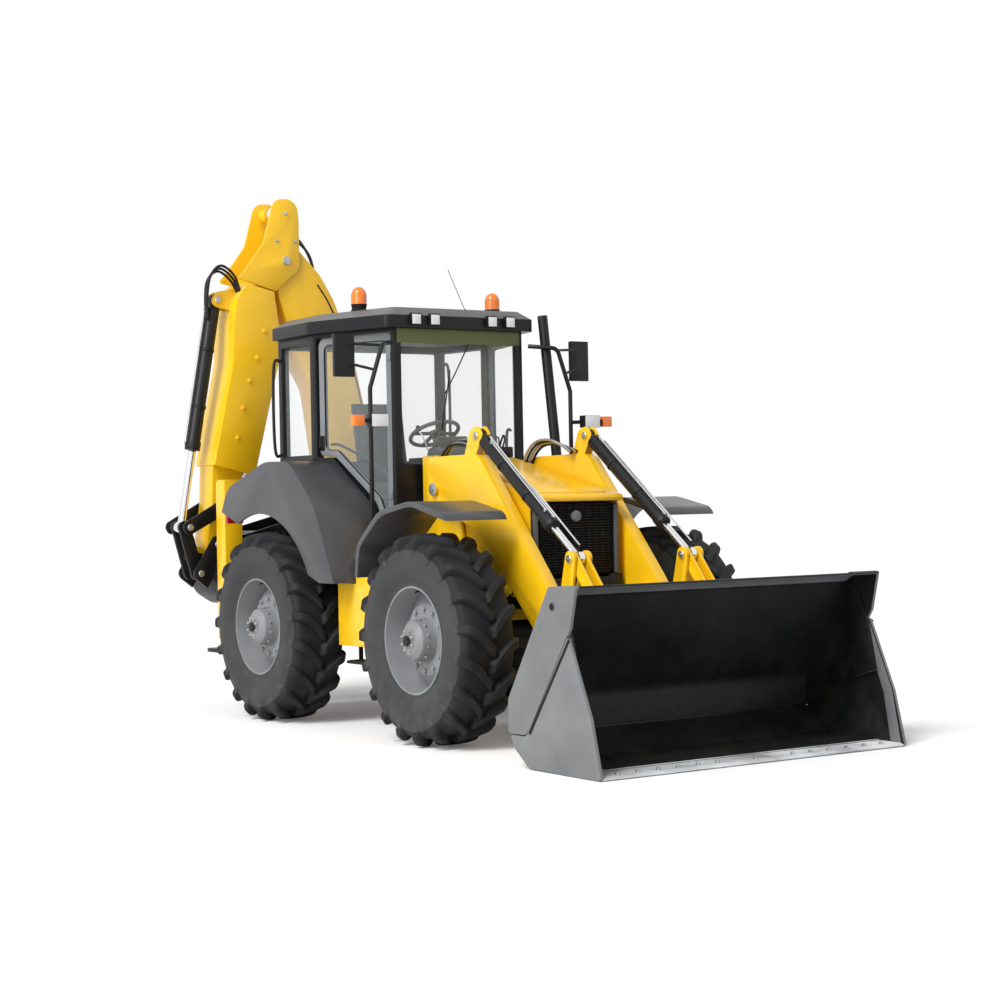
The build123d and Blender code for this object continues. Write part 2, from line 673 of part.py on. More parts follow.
def carriage():
    """Carriage that slides along the rear frame and carries the swing post."""
    front = slide_rear - seat_gap
    half = carriage_half
    shape = block(front - 60, front, swing_y - half, swing_y + half, slide_low - 90, slide_high + 90)
    for z in (slide_low - 75, slide_high + 60):
        shape += block(front - 60, slide_rear + 60, swing_y - half, swing_y + half, z, z + 15)
    for z in (swing_low, swing_high):
        rows = [(front - 60, swing_y - swing_root, 0), (hoe_x - swing_lug, swing_y - swing_lug, swing_lug * 0.95),
                (hoe_x - swing_lug, swing_y + swing_lug, swing_lug * 0.95), (front - 60, swing_y + swing_root, 0)]
        shape += top_plate(rows, z, z + swing_lug_thickness)
        shape -= Pos(hoe_x, swing_y, z) * Cylinder(swing_pin + running_clearance, 4 * swing_lug_thickness)
    return shape


def swing_post():
    """Swing post between the carriage's lugs, with the boom's foot and the cylinder's base."""
    low, high = swing_low + swing_lug_thickness + 5, swing_high - 5
    above = swing_high + swing_lug_thickness + 6
    gap = boom_width / 2 + 5
    outer = gap + 30
    shape = Pos(hoe_x, swing_y, (low + high) / 2) * Cylinder(95, high - low)
    shape += Pos(hoe_x, swing_y, (swing_low + above) / 2) * Cylinder(swing_pin, above - swing_low + 2)
    foot = [(swing_y + 90, low + 40, 0), (swing_y + 90, high, 0), (480, high, 0), (480, above + 50, 0),
            (boom_pivot[0] + 20, above + 50, 60), (boom_pivot[0] - 110, 1050, 90),
            (boom_pivot[0] - 110, 850, 90), (boom_pivot[0] + 40, 720, 60)]
    strip = [(400, above, 0), (swing_y + 90, above, 0), (swing_y + 90, above + 50, 0), (400, above + 50, 0)]
    shape += lugs_x(foot, gap, 30) + lugs_x(strip, gap, 30)
    shape += block(hoe_x - outer, hoe_x + outer, swing_y - 60, swing_y + 90, low + 40, high)
    shape += block(hoe_x - outer, hoe_x + outer, swing_y, boom_base[0] + 62, above, above + 30)
    shape += pin_x(boom_pivot, hoe_x - outer - pin_head, hoe_x + outer + pin_head, pin_radius + 8)
    ears = [(swing_y + 50, above + 25, 0), (boom_base[0] + 62, above + 25, 0),
            (boom_base[0] + 62, boom_base[1] + 62, 58), (boom_base[0] - 58, boom_base[1] + 62, 58)]
    ear_gap = boom_ram["eye_width"] / 2 + side_gap
    shape += lugs_x(ears, ear_gap, 25)
    shape += pin_x(boom_base, hoe_x - ear_gap - 30, hoe_x + ear_gap + 30, pin_radius)
    return shape


boom_rows = [(boom_pivot[0] - 105, 860, 90), (boom_pivot[0] + 80, 850, 75), (boom_pivot[0] + 85, 1060, 60),
             (500, 1500, 300), (560, 2200, 400), (410, 2860, 200), (235, 3300, 200), (110, 3500, 100),
             (-120, 3730, 110), (-335, 3640, 110), (-270, 3290, 200), (-110, 2850, 150), (60, 2560, 300),
             (160, 1900, 400)]
boom_channel = [(boom_pivot[0] + 52, 1040, 40), (380, 1700, 300), (330, 2300, 200), (215, 2620, 60),
                (60, 3100, 200), (-130, 3480, 60), (-130, 3620, 40), (-175, 3720, 0), (-240, 3800, 0),
                (700, 3800, 0), (700, 1040, 0)]


def boom():
    """Boom: a box on its outer side and two side plates that hold its cylinders."""
    half = boom_width / 2
    shape = rear_plate(boom_rows, hoe_x - half, hoe_x + half)
    shape -= rear_plate(boom_channel, hoe_x - half + hoe_plate, hoe_x + half - hoe_plate)
    shape -= pin_x(boom_pivot, hoe_x - half - 5, hoe_x + half + 5, pin_radius + 8 + running_clearance)
    shape -= pin_x(dipper_pivot, hoe_x - half - 5, hoe_x + half + 5, pin_radius + 8 + running_clearance)
    shape += pin_x(dipper_base, hoe_x - half, hoe_x + half, pin_radius)
    for side in (-1, 1):
        inner = side * (half - hoe_plate)
        shape += pin_x(boom_eye, min(hoe_x + inner, hoe_x + side * 60), max(hoe_x + inner, hoe_x + side * 60), 60)
    return shape


def slide_point(distance, outward):
    """Point in the backhoe's plane: a distance down the extension's slide, and outward of it."""
    length = hypot(slide_bottom[0] - slide_top[0], slide_bottom[1] - slide_top[1])
    uy, uz = (slide_bottom[0] - slide_top[0]) / length, (slide_bottom[1] - slide_top[1]) / length
    return (slide_top[0] + uy * distance + uz * outward, slide_top[1] + uz * distance - uy * outward)


def slide_box(start, end, depth, half_width):
    """Straight box along the extension's slide."""
    rows = [slide_point(t, n) + (0,) for t, n in ((start, -depth / 2), (start, depth / 2), (end, depth / 2),
                                                  (end, -depth / 2))]
    return rear_plate(rows, hoe_x - half_width, hoe_x + half_width)


head_rows = [(-320, 4100, 100), (-110, 4110, 110), (-95, 3930, 60), (-95, 3540, 100),
             slide_point(-12, -95) + (0,), slide_point(-12, 270) + (20,), (-600, 3500, 60), (-420, 3740, 100)]


def dipper():
    """Fixed part of the dipper: two head plates and the inner box that the extension runs on."""
    half = dipper_width / 2
    shape = lugs_x(head_rows, half - hoe_plate, hoe_plate)
    shape += slide_box(-90, -12, inner_box_depth, half)
    shape += slide_box(-20, inner_box_length, inner_box_depth, half - extension_wall - running_clearance)
    shape += pin_x(dipper_pivot, hoe_x - half - pin_head, hoe_x + half + pin_head, pin_radius + 8)
    for side in (-1, 1):
        near, far = hoe_x + side * 60, hoe_x + side * (half - hoe_plate)
        shape += pin_x(dipper_eye, min(near, far), max(near, far), 60)
    return shape


tube_rows = [(-332, 3341, 0), (-575, 3401, 0), (-668, 3270, 60), (-700, 3080, 150), (-712, 2770, 400),
             (-898, 1936, 0), (-539, 1846, 0), (-272, 2890, 250)]
tip_rows = [(-600, 1900, 0), (-885, 1960, 0), (-900, 1600, 200), (-955, 1290, 70), (-915, 1215, 60),
            (-810, 1225, 60), (-715, 1600, 200)]
crowd_lug_rows = [(-610, 3370, 0), (-790, 3335, 50), (-858, 3262, 50), (-806, 3212, 45), (-640, 3180, 0)]


def extension():
    """Sliding part of the dipper: outer tube, lugs of the bucket cylinder, and the narrow tip."""
    half, tip = dipper_width / 2, tip_width / 2
    shape = rear_plate(tube_rows, hoe_x - half, hoe_x + half)
    shape -= slide_box(-100, 1460, inner_box_depth + 2 * running_clearance, half - extension_wall)
    shape += rear_plate(tip_rows, hoe_x - tip, hoe_x + tip)
    gap = crowd_ram["eye_width"] / 2 + side_gap
    shape += lugs_x(crowd_lug_rows, gap, 20)
    shape += pin_x(crowd_base, hoe_x - gap - 28, hoe_x + gap + 28, pin_radius)
    shape += pin_x(rocker_pivot, hoe_x - rocker_gap - 26, hoe_x + rocker_gap + 26, pin_radius)
    shape += pin_x(rocker_pivot, hoe_x - rocker_gap + side_gap, hoe_x + rocker_gap - side_gap, 60)
    shape -= pin_x(hoe_bucket_pivot, hoe_x - tip - 5, hoe_x + tip + 5, pin_radius + running_clearance)
    return shape


def rockers():
    """Rockers that guide the bucket cylinder's rod end, one each side of the dipper's tip."""
    rows = strap_rows(rocker_pivot, crowd_eye, 60, 55)
    plates = lugs_x(rows, rocker_gap, 18)
    plates -= pin_x(rocker_pivot, hoe_x - 400, hoe_x + 400, pin_radius + running_clearance)
    inner = crowd_ram["eye_width"] / 2 + side_gap
    for side in (-1, 1):
        near, far = hoe_x + side * inner, hoe_x + side * (rocker_gap + 26)
        plates += pin_x(crowd_eye, min(near, far), max(near, far), pin_radius)
    return plates


def hoe_link():
    """Link from the rockers' outer pin to the bucket."""
    inner = crowd_ram["eye_width"] / 2 + side_gap + 4
    rows = strap_rows(crowd_eye, hoe_link_eye, 52, 52)
    shape = lugs_x(rows, inner, 30)
    middle = ((crowd_eye[0] + 2 * hoe_link_eye[0]) / 3, (crowd_eye[1] + 2 * hoe_link_eye[1]) / 3)
    shape += pin_x(middle, hoe_x - inner - 1, hoe_x + inner + 1, 30)
    shape -= pin_x(crowd_eye, hoe_x - 400, hoe_x + 400, pin_radius + running_clearance)
    return shape


def bucket_point(s, n):
    """Point of the digging bucket: s from its pin towards the link's eye, n into the bowl."""
    length = hypot(hoe_link_eye[0] - hoe_bucket_pivot[0], hoe_link_eye[1] - hoe_bucket_pivot[1])
    ey = (hoe_link_eye[0] - hoe_bucket_pivot[0]) / length
    ez = (hoe_link_eye[1] - hoe_bucket_pivot[1]) / length
    return (hoe_bucket_pivot[0] + ey * s - ez * n, hoe_bucket_pivot[1] + ez * s + ey * n)


def hoe_bucket():
    """Digging bucket: bowl, side plates, ears and teeth."""
    half = hoe_bucket_width / 2
    outer = [(-150, 95, 0), (330, 95, 170), (330, 430, 170), (60, 640, 200), (-330, 640, 200), (-600, 540, 0),
             (-585, 500, 0), (-160, 110, 0)]
    bowl_in = [(-135, 113, 0), (300, 113, 155), (312, 420, 155), (55, 620, 190), (-330, 620, 190), (-640, 500, 0),
               (-560, 400, 0)]
    rows = [bucket_point(s, n) + (r,) for s, n, r in outer]
    inside = [bucket_point(s, n) + (r,) for s, n, r in bowl_in]
    shape = rear_plate(rows, hoe_x - half, hoe_x + half)
    shape -= rear_plate(inside, hoe_x - half + 16, hoe_x + half - 16)
    ear = [bucket_point(-70, -10) + (60,), bucket_point(-60, -60) + (60,), bucket_point(330, -60) + (60,),
           bucket_point(345, 110) + (0,), bucket_point(-130, 110) + (0,)]
    ear_gap = tip_width / 2 + side_gap
    shape += lugs_x(ear, ear_gap, 22)
    shape += pin_x(hoe_bucket_pivot, hoe_x - ear_gap - 30, hoe_x + ear_gap + 30, pin_radius)
    for side in (-1, 1):
        near, far = hoe_x + side * (ear_gap - 24), hoe_x + side * (ear_gap + 30)
        shape += pin_x(hoe_link_eye, min(near, far), max(near, far), pin_radius + 10)
    tooth_rows = [(-560, 520, 0), (-600, 540, 0), (-760, 590, 0), (-600, 580, 0), (-540, 575, 0)]
    tooth = [bucket_point(s, n) + (r,) for s, n, r in tooth_rows]
    pitch = (hoe_bucket_width - 60) / (hoe_teeth - 1)
    for i in range(hoe_teeth):
        x = hoe_x - half + 30 + i * pitch
        shape += rear_plate(tooth, x - 30, x + 30)
    return shape


# Cab: plan points on the left, front to rear

def cab_plan(inset=0.0):
    """Plan of the cab, moved inward by an inset."""
    left = [(cab_front - inset, cab_front_half - inset * 0.8), (cab_mid, cab_mid_half - inset),
            (cab_rear + inset, cab_rear_half - inset)]
    right = [(x, -y) for x, y in reversed(left)]
    return [(x, y, 0) for x, y in left + right]


door_rows = [(1022, 1460, 0), (1022, 2830, 20), (352, 2830, 60), (352, 1960, 50), (492, 1960, 80),
             (868, 1622, 200), (928, 1460, 0)]
door_upper_pane = [(979, 1505, 0), (979, 2785, 30), (397, 2785, 50), (397, 2003, 50), (512, 2003, 60),
                   (902, 1650, 100), (956, 1505, 0)]
lower_pane = [(880, 1150, 20), (1020, 1150, 20), (1020, 1220, 20), (950, 1400, 40), (880, 1400, 20)]


def cab_frame():
    """Cab shell: floor, lower walls, posts and roof rails, hollow and with open windows."""
    outer = top_plate(cab_plan(), cab_floor, cab_top)
    inner = top_plate(cab_plan(post_size), cab_floor + 40, cab_top + 1)
    well = block(footwell_rear, cab_front, -footwell_half, footwell_half, footwell_floor, cab_floor + 40)
    shape = outer - inner + well
    shape -= block(footwell_rear + 30, cab_front - 30, -footwell_half + 30, footwell_half - 30,
                   footwell_floor + 30, cab_floor + 60)
    shape -= block(cab_rear - 10, cab_rear + post_size + 5, -cab_rear_half + post_size, cab_rear_half - post_size,
                   cab_sill, cab_top - 70)
    shape -= block(cab_front - post_size - 5, cab_front + 10, -windscreen_half, windscreen_half,
                   windscreen_low, cab_top - 60)
    grow = door_gap
    opening_rows = [(1022 + grow, 1460 - grow, 0), (1022 + grow, 2830 + grow, 0), (352 - 4 * grow, 2830 + grow, 0),
                    (352 - 4 * grow, 1960 - grow, 0), (468, 1960 - grow, 0), (832, 1600, 0), (896, 1460 - grow, 0)]
    side = block(cab_rear + post_size, cab_mid - post_size, 600, 900, cab_sill + 40, cab_top - 70)
    side += side_plate(opening_rows, 450, 900) + side_plate(lower_pane, footwell_half - 40, footwell_half + 1)
    shape -= both_sides(side)
    shape += block(-300, footwell_rear, -rail_y, rail_y, rail_bottom + rail_height, cab_floor)
    return shape


def cab_roof():
    """Roof: a shallow shell that overhangs the cab, with its front fascia."""
    grow = 45.0
    plan = [(roof_front, cab_front_half + 80, 60), (cab_mid, cab_mid_half + grow, 200),
            (cab_rear - 40, cab_rear_half + grow, 60)]
    plan += [(x, -y, r) for x, y, r in reversed(plan)]
    lower = top_plate(plan, cab_top, cab_top + 90)
    upper_face = Plane.XY.offset(cab_top + 90) * outline(plan)
    smaller = [(x * 0.93 + 24, y * 0.86, r) for x, y, r in plan]
    top_face = Plane.XY.offset(roof_top) * outline(smaller)
    return lower + loft([upper_face, top_face], ruled=True)


def door_slab(rows, depth, thickness, inset=0.0):
    """Slab of a side-view outline, less an inset, set on the left door's slanted plane."""
    (x0, y0), (x1, y1) = door_line
    length = hypot(x1 - x0, y1 - y0)
    ux, uy = (x1 - x0) / length, (y1 - y0) / length
    place = Plane((x0, y0, 0), x_dir=(ux, uy, 0), z_dir=(uy, -ux, 0))
    flat = [((x0 - x) / -ux, z, r) for x, z, r in rows]
    face = offset(outline(flat), amount=-inset) if inset else outline(flat)
    return place * Pos(0, 0, -depth - thickness) * extrude(face, amount=thickness)


def door_frame():
    """Left door's frame with its grab bar, hinged at the front."""
    frame = door_slab(door_rows, door_gap, door_thickness)
    frame -= door_slab(door_upper_pane, 0, door_thickness * 2)
    x, y = door_line[0]
    for z in hinge_heights:
        leaf = [(x, z, 0), (x, z + hinge_height, 0), (x - 34, z + hinge_height, 0), (x - 34, z, 0)]
        frame += door_slab(leaf, -3, door_gap + 4)
        frame += rod((x, y, z), (x, y, z + hinge_height), hinge_radius)
    return frame


def door_glass():
    """Left door's pane."""
    return door_slab(door_upper_pane, door_gap + 17, glass_thickness, seat_gap)


def cab_glass():
    """Fixed panes: windscreen, rear window, rear quarters and the footwell's low panes."""
    shape = block(cab_front - 30, cab_front - 30 + glass_thickness, -windscreen_half, windscreen_half,
                  windscreen_low, cab_top - 60)
    shape += block(cab_rear + 25, cab_rear + 25 + glass_thickness, -cab_rear_half + post_size,
                   cab_rear_half - post_size, cab_sill, cab_top - 70)
    slope = (cab_mid_half - cab_rear_half) / (cab_mid - cab_rear)
    start, end = cab_rear + post_size, cab_mid - post_size
    y_start, y_end = cab_rear_half + slope * post_size - 30, cab_mid_half - slope * post_size - 30
    rows = [(start, y_start, 0), (end, y_end, 0), (end, y_end - glass_thickness, 0),
            (start, y_start - glass_thickness, 0)]
    side = top_plate(rows, cab_sill + 40, cab_top - 70)
    side += side_plate(lower_pane, footwell_half - 18, footwell_half - 18 + glass_thickness)
    return shape + both_sides(side)


def seat():
    """Driver's seat: cushion, back and pedestal as one soft block."""
    base = block(-60, 420, -230, 230, 1640, 1760)
    back = side_plate([(-60, 1740, 0), (60, 1740, 0), (-40, 2420, 50), (-160, 2400, 50)], -220, 220)
    return base + back + block(20, 340, -160, 160, cab_floor + 40, 1640)


def console():
    """Dash, steering column and wheel."""
    dash = side_plate([(780, cab_floor + 40, 0), (cab_front - 70, cab_floor + 40, 0), (cab_front - 70, 2010, 40),
                       (900, 2010, 60), (820, 1800, 40)], -180, 180)
    wheel_plane = Plane((700, 0, 2120), z_dir=(-0.45, 0, 0.89))
    ring = wheel_plane * Torus(185, 15)
    spokes = wheel_plane * (Box(360, 30, 14) + Box(30, 360, 14) + Cylinder(38, 30))
    column = rod((880, 0, 1800), (704, 0, 2112), 28)
    return dash + column + spokes + ring


# Body panels

def hood():
    """Hood: sloping shell, open below and in front."""
    rows = [(hood_rear, hood_bottom, 0), (hood_front - 40, hood_bottom, 0), (hood_front, hood_front_z, 30),
            (hood_rear, hood_rear_z, 0)]
    inner = [(hood_rear - 10, hood_bottom - 10, 0), (hood_front - 60, hood_bottom - 10, 0),
             (grille_x + 50, hood_front_z - 40, 0), (hood_rear - 10, hood_rear_z - hood_wall - 8, 0)]
    shape = side_plate(rows, -hood_half, hood_half)
    shape -= side_plate(inner, -hood_half + hood_wall, hood_half - hood_wall)
    shape -= side_plate([(grille_x + 6, hood_bottom - 10, 0), (hood_front + 10, hood_bottom - 10, 0),
                         (hood_front + 10, hood_front_z - 40, 0), (grille_x + 6, hood_front_z - 40, 0)],
                        -hood_half - 5, hood_half + 5)
    return shape


def grille():
    """Radiator grille between the hood's sides."""
    half = hood_half - hood_wall
    return block(grille_x - 60, grille_x, -half, half, hood_bottom, hood_front_z - 55)


rear_fender_rows = [(-620, 1560, 0), (-520, 1740, 250), (100, 1930, 500), (480, 1925, 300), (840, 1600, 500),
                    (1110, 1050, 0), (900, 1050, 0)]
rear_hollow_rows = [(-640, 1500, 0), (-500, 1715, 250), (100, 1902, 500), (470, 1897, 300), (820, 1580, 500),
                    (1075, 1030, 0), (800, 900, 0)]
front_fender_rows = [(1405, 1100, 0), (1440, 1330, 150), (1740, 1560, 300), (2150, 1625, 400), (2560, 1540, 100),
                     (2580, 1490, 0), (2550, 1495, 0), (2150, 1590, 400), (1760, 1525, 300), (1475, 1310, 150),
                     (1440, 1100, 0)]


def fenders():
    """Rear and front fenders of each side, joined by their bracket."""
    skin = side_plate(rear_fender_rows, fender_in, fender_out)
    skin -= side_plate(rear_hollow_rows, fender_in - 10, fender_out - 20)
    skin -= pin_y((0, axle_height), fender_in - 10, fender_out + 10, arch_radius)
    skin -= top_plate(cab_plan(-1), cab_floor - 1, cab_top)
    skin += block(1005, 1450, 760, 900, fender_bracket - 40, fender_bracket)
    skin += side_plate(front_fender_rows, fender_in, fender_out)
    return both_sides(skin)


def side_boxes():
    """Tank and battery box under the cab, one each side."""
    rows = [(860, 600, 0), (1350, 600, 0), (1350, 1160, 0), (1118, 1160, 0), (1118, 1045, 0), (860, 1045, 0)]
    box = side_plate(rows, footwell_half + 10, 945)
    box += block(870, 1200, rail_y + rail_width / 2, footwell_half + 10, 700, 1000)
    return both_sides(box)


def roof_lights():
    """Beacons and work lamps on the roof."""
    base = rod((beacon_x, beacon_y, roof_top), (beacon_x, beacon_y, roof_top + 36), 52)
    dome = rod((beacon_x, beacon_y, roof_top + 36), (beacon_x, beacon_y, roof_top + 121), 46)
    side = base + dome
    for y in work_lamp_y:
        side += block(roof_front, roof_front + 30, y - 40, y + 40, cab_top + 35, cab_top + 85)
    return both_sides(side)


def lamp_posts():
    """Tube, headlamp, signal and mirror of each side."""
    x, y, z = lamp_post
    side = pipe([(1100, 590, 2760), (x - 5, y - 110, 2740), (x, y, 2420), (x, y, fender_bracket)], 16, [60, 60])
    side += rod((x, y, z), (1390, 900, z), 14)
    side += block(1380, 1450, 850, 985, z - 45, z + 45)
    side += block(1390, 1425, 984, 1040, z - 15, z + 15)
    side += block(1380, 1430, 1030, 1112, z - 38, z + 38)
    side += rod((x - 2, 826, 2550), (1150, 1000, 2600), 10)
    side += rod((x - 5, 765, 2725), (1150, 1000, 2740), 10)
    side += block(1130, 1160, 944, 1104, 2503, 2803)
    return both_sides(side)


def exhaust():
    """Exhaust stack beside the left front post."""
    return pipe([(1190, hood_half, 1740), (1190, 790, 1740), (1120, 712, 2990)], 38, [90])


def save_all():
    """Write every piece."""
    os.makedirs("parts", exist_ok=True)
    save("chassis", chassis())
    save("engine_block", engine())
    save("driveline", driveline())
    save("front_axle", Pos(wheelbase, 0, axle_height) * axle_beam())
    save("rear_axle", Pos(0, 0, axle_height) * Rot(0, 0, 180) * axle_beam())
    tyre_shape = tyre()
    for corner, x in (("front", wheelbase), ("rear", 0)):
        for name, side in (("left", 1), ("right", -1)):
            centre = Pos(x, side * half_track, axle_height)
            save(f"tyre_{corner}_{name}", centre * tyre_shape)
            save(f"rim_{corner}_{name}", centre * rim(side))
            save(f"knuckle_{corner}_{name}", Pos(x, side * kingpin_y, axle_height) * knuckle(side))
    save("stabiliser_leg_left", stabiliser_leg())
    save("stabiliser_leg_right", mirrored(stabiliser_leg()))
    save("loader_arms", loader_arms())
    rams = (("lift", lift_base, lift_eye, lift_ram), ("tilt", tilt_base, tilt_eye, tilt_ram))
    for name, start, end, size in rams:
        save(f"{name}_barrels", both_sides(ram_barrel(start, end, arm_y, "side", size)))
        save(f"{name}_rods", both_sides(ram_rod(start, end, arm_y, "side", size)))
    save("tilt_levers", levers())
    save("tilt_links", tilt_links())
    save("bucket_back", bucket_back())
    save("bucket_clam", bucket_clam())
    save("carriage", carriage())
    save("swing_post", swing_post())
    save("boom", boom())
    save("dipper", dipper())
    save("dipper_extension", extension())
    save("boom_barrel", ram_barrel(boom_base, boom_eye, hoe_x, "rear", boom_ram))
    save("boom_rod", ram_rod(boom_base, boom_eye, hoe_x, "rear", boom_ram))
    save("dipper_barrel", ram_barrel(dipper_base, dipper_eye, hoe_x, "rear", dipper_ram))
    save("dipper_rod", ram_rod(dipper_base, dipper_eye, hoe_x, "rear", dipper_ram))
    save("crowd_barrel", ram_barrel(crowd_base, crowd_eye, hoe_x, "rear", crowd_ram))
    save("crowd_rod", ram_rod(crowd_base, crowd_eye, hoe_x, "rear", crowd_ram))
    save("rockers", rockers())
    save("hoe_link", hoe_link())
    save("hoe_bucket", hoe_bucket())
    save("cab_frame", cab_frame())
    save("cab_roof", cab_roof())
    save("cab_glass", cab_glass())
    save("door_frame_left", door_frame())
    save("door_glass_left", door_glass())
    save("door_frame_right", mirrored(door_frame()))
    save("door_glass_right", mirrored(door_glass()))
    save("seat", seat())
    save("console", console())
    save("hood", hood())
    save("grille", grille())
    save("fenders", fenders())
    save("side_boxes", side_boxes())
    save("roof_lights", roof_lights())
    save("lamp_posts", lamp_posts())
    save("exhaust", exhaust())


if __name__ == "__main__":
    save_all()
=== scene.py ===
import json
import math
import bmesh
import bpy
from mathutils import Matrix, Vector


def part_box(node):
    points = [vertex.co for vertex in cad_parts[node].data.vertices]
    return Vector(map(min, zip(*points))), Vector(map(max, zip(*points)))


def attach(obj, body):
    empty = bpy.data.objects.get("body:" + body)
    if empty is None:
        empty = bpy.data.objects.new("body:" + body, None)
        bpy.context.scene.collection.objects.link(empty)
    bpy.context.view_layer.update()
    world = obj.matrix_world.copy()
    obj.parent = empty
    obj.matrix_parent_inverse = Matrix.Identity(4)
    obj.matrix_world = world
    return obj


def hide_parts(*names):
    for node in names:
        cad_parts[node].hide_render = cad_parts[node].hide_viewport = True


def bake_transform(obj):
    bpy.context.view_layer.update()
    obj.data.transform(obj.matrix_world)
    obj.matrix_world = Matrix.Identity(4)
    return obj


# Looks of a four-wheel-steer backhoe loader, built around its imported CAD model. Metres, +X forward, +Z up.

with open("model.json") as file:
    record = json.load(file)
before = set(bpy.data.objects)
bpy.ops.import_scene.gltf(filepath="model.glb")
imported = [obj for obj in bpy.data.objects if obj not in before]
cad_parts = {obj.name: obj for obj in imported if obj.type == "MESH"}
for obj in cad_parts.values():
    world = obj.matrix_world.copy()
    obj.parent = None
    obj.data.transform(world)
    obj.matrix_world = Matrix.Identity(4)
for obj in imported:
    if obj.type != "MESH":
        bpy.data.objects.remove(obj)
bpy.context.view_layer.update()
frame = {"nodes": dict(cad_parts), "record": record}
nodes = frame["nodes"]

# Places are measured from the ground under the rear axle, as the CAD part's own dimensions are
rimLow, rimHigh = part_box("rim_rear_left")
frontRimLow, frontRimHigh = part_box("rim_front_left")
axleX = (rimLow[0] + rimHigh[0]) / 2
wheelZ = (rimLow[2] + rimHigh[2]) / 2
wheelY = (rimLow[1] + rimHigh[1]) / 2
wheelbase = (frontRimLow[0] + frontRimHigh[0]) / 2 - axleX
hoeLow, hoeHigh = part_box("boom")
hoeX = (hoeLow[0] + hoeHigh[0]) / 2 - axleX
sides = {"left": 1, "right": -1}
tiny = 1e-4


def spot(x, y, z):
    return Vector((axleX + x, y, z))


def onHoe(y, z, x=0.0):
    return spot(hoeX + x, y, z)


print("stage: materials")

# Finishes: colour and shine, then how much wear shows on edges, dust low down, and grain in the surface
finishes = {
    "yellowPaint": {"color": (0.84, 0.49, 0.005), "rough": 0.32, "coat": 0.25, "wear": 0.25, "dust": 0.08,
                    "grain": 0.05, "grainScale": 220, "vary": 0.06, "slot": "yellow_paint"},
    "blackPaint": {"color": (0.009, 0.009, 0.010), "rough": 0.42, "shine": 0.25, "wear": 0.25, "dust": 0.08,
                   "grain": 0.08, "grainScale": 160, "vary": 0.25, "slot": "black_paint"},
    "castIron": {"color": (0.022, 0.022, 0.024), "rough": 0.62, "shine": 0.3, "wear": 0.3, "dust": 0.12,
                 "grain": 0.35, "grainScale": 90, "vary": 0.3, "slot": "engine_iron"},
    "chrome": {"color": (0.80, 0.81, 0.83), "rough": 0.12, "metal": 1.0, "grain": 0.02, "grainScale": 300,
               "vary": 0.05, "slot": "chrome_rod"},
    "steelBright": {"color": (0.46, 0.47, 0.48), "rough": 0.34, "metal": 0.9, "grain": 0.1,
                    "grainScale": 150, "vary": 0.2, "slot": "chrome_rod"},
    "bucketGrey": {"color": (0.136, 0.142, 0.147), "rough": 0.46, "wear": 0.5, "dust": 0.12, "grain": 0.10,
                   "grainScale": 120, "vary": 0.12, "slot": "bucket_grey"},
    "bucketInside": {"color": (0.007, 0.008, 0.008), "rough": 0.42, "shine": 0.25, "wear": 0.2,
                     "dust": 0.05, "grain": 0.12, "grainScale": 60, "vary": 0.4, "slot": "bucket_grey"},
    "cuttingEdge": {"color": (0.55, 0.56, 0.57), "rough": 0.50, "metal": 0.0, "wear": 0.6, "grain": 0.3,
                    "grainScale": 70, "vary": 0.35, "slot": "bucket_grey"},
    "rimGrey": {"color": (0.200, 0.208, 0.216), "rough": 0.42, "shine": 0.35, "wear": 0.3, "dust": 0.12,
                "grain": 0.06, "grainScale": 150, "vary": 0.1, "slot": "rim_grey"},
    "tyreRubber": {"color": (0.012, 0.0125, 0.014), "rough": 0.66, "shine": 0.22, "dust": 0.07,
                   "grain": 0.30, "grainScale": 140, "vary": 0.25, "slot": "tyre"},
    "tyreWall": {"color": (0.030, 0.031, 0.033), "rough": 0.60, "shine": 0.3, "dust": 0.10, "grain": 0.18,
                 "grainScale": 140, "vary": 0.2, "slot": "tyre"},
    "fenderPlastic": {"color": (0.045, 0.046, 0.050), "rough": 0.34, "shine": 0.6, "dust": 0.1,
                      "grain": 0.22, "grainScale": 420, "vary": 0.12, "slot": "fender_plastic"},
    "roofPlastic": {"color": (0.110, 0.114, 0.118), "rough": 0.5, "dust": 0.05, "grain": 0.15,
                    "grainScale": 380, "vary": 0.1, "slot": "roof_plastic"},
    "cabBlack": {"color": (0.008, 0.0085, 0.0095), "rough": 0.34, "shine": 0.25, "wear": 0.12, "dust": 0.04,
                 "grain": 0.04, "grainScale": 240, "vary": 0.12, "slot": "black_paint"},
    "doorGrey": {"color": (0.165, 0.177, 0.186), "rough": 0.36, "wear": 0.2, "dust": 0.1, "grain": 0.05,
                 "grainScale": 240, "vary": 0.08, "slot": "rim_grey"},
    "hoseRubber": {"color": (0.009, 0.009, 0.010), "rough": 0.5, "shine": 0.3, "dust": 0.06, "grain": 0.35,
                   "grainScale": 260, "vary": 0.2, "slot": "tyre"},
    "sealRubber": {"color": (0.006, 0.006, 0.007), "rough": 0.66, "shine": 0.2, "dust": 0.03, "grain": 0.1,
                   "grainScale": 300, "vary": 0.2, "slot": "tyre"},
    "seatCloth": {"color": (0.036, 0.037, 0.041), "rough": 0.9, "grain": 0.2, "grainScale": 700,
                  "vary": 0.2, "slot": "seat_fabric"},
    "trimGrey": {"color": (0.085, 0.088, 0.094), "rough": 0.55, "grain": 0.25, "grainScale": 500,
                 "vary": 0.1, "slot": "roof_plastic"},
    "boltZinc": {"color": (0.42, 0.42, 0.41), "rough": 0.42, "metal": 0.85, "grain": 0.15,
                 "grainScale": 300, "vary": 0.2, "slot": "rim_grey"},
}
wearColor = (0.42, 0.41, 0.39, 1)
dustColor = (0.34, 0.30, 0.24, 1)
wearRadius = 0.006
dustHeight = 1.3               # dust fades out at this height


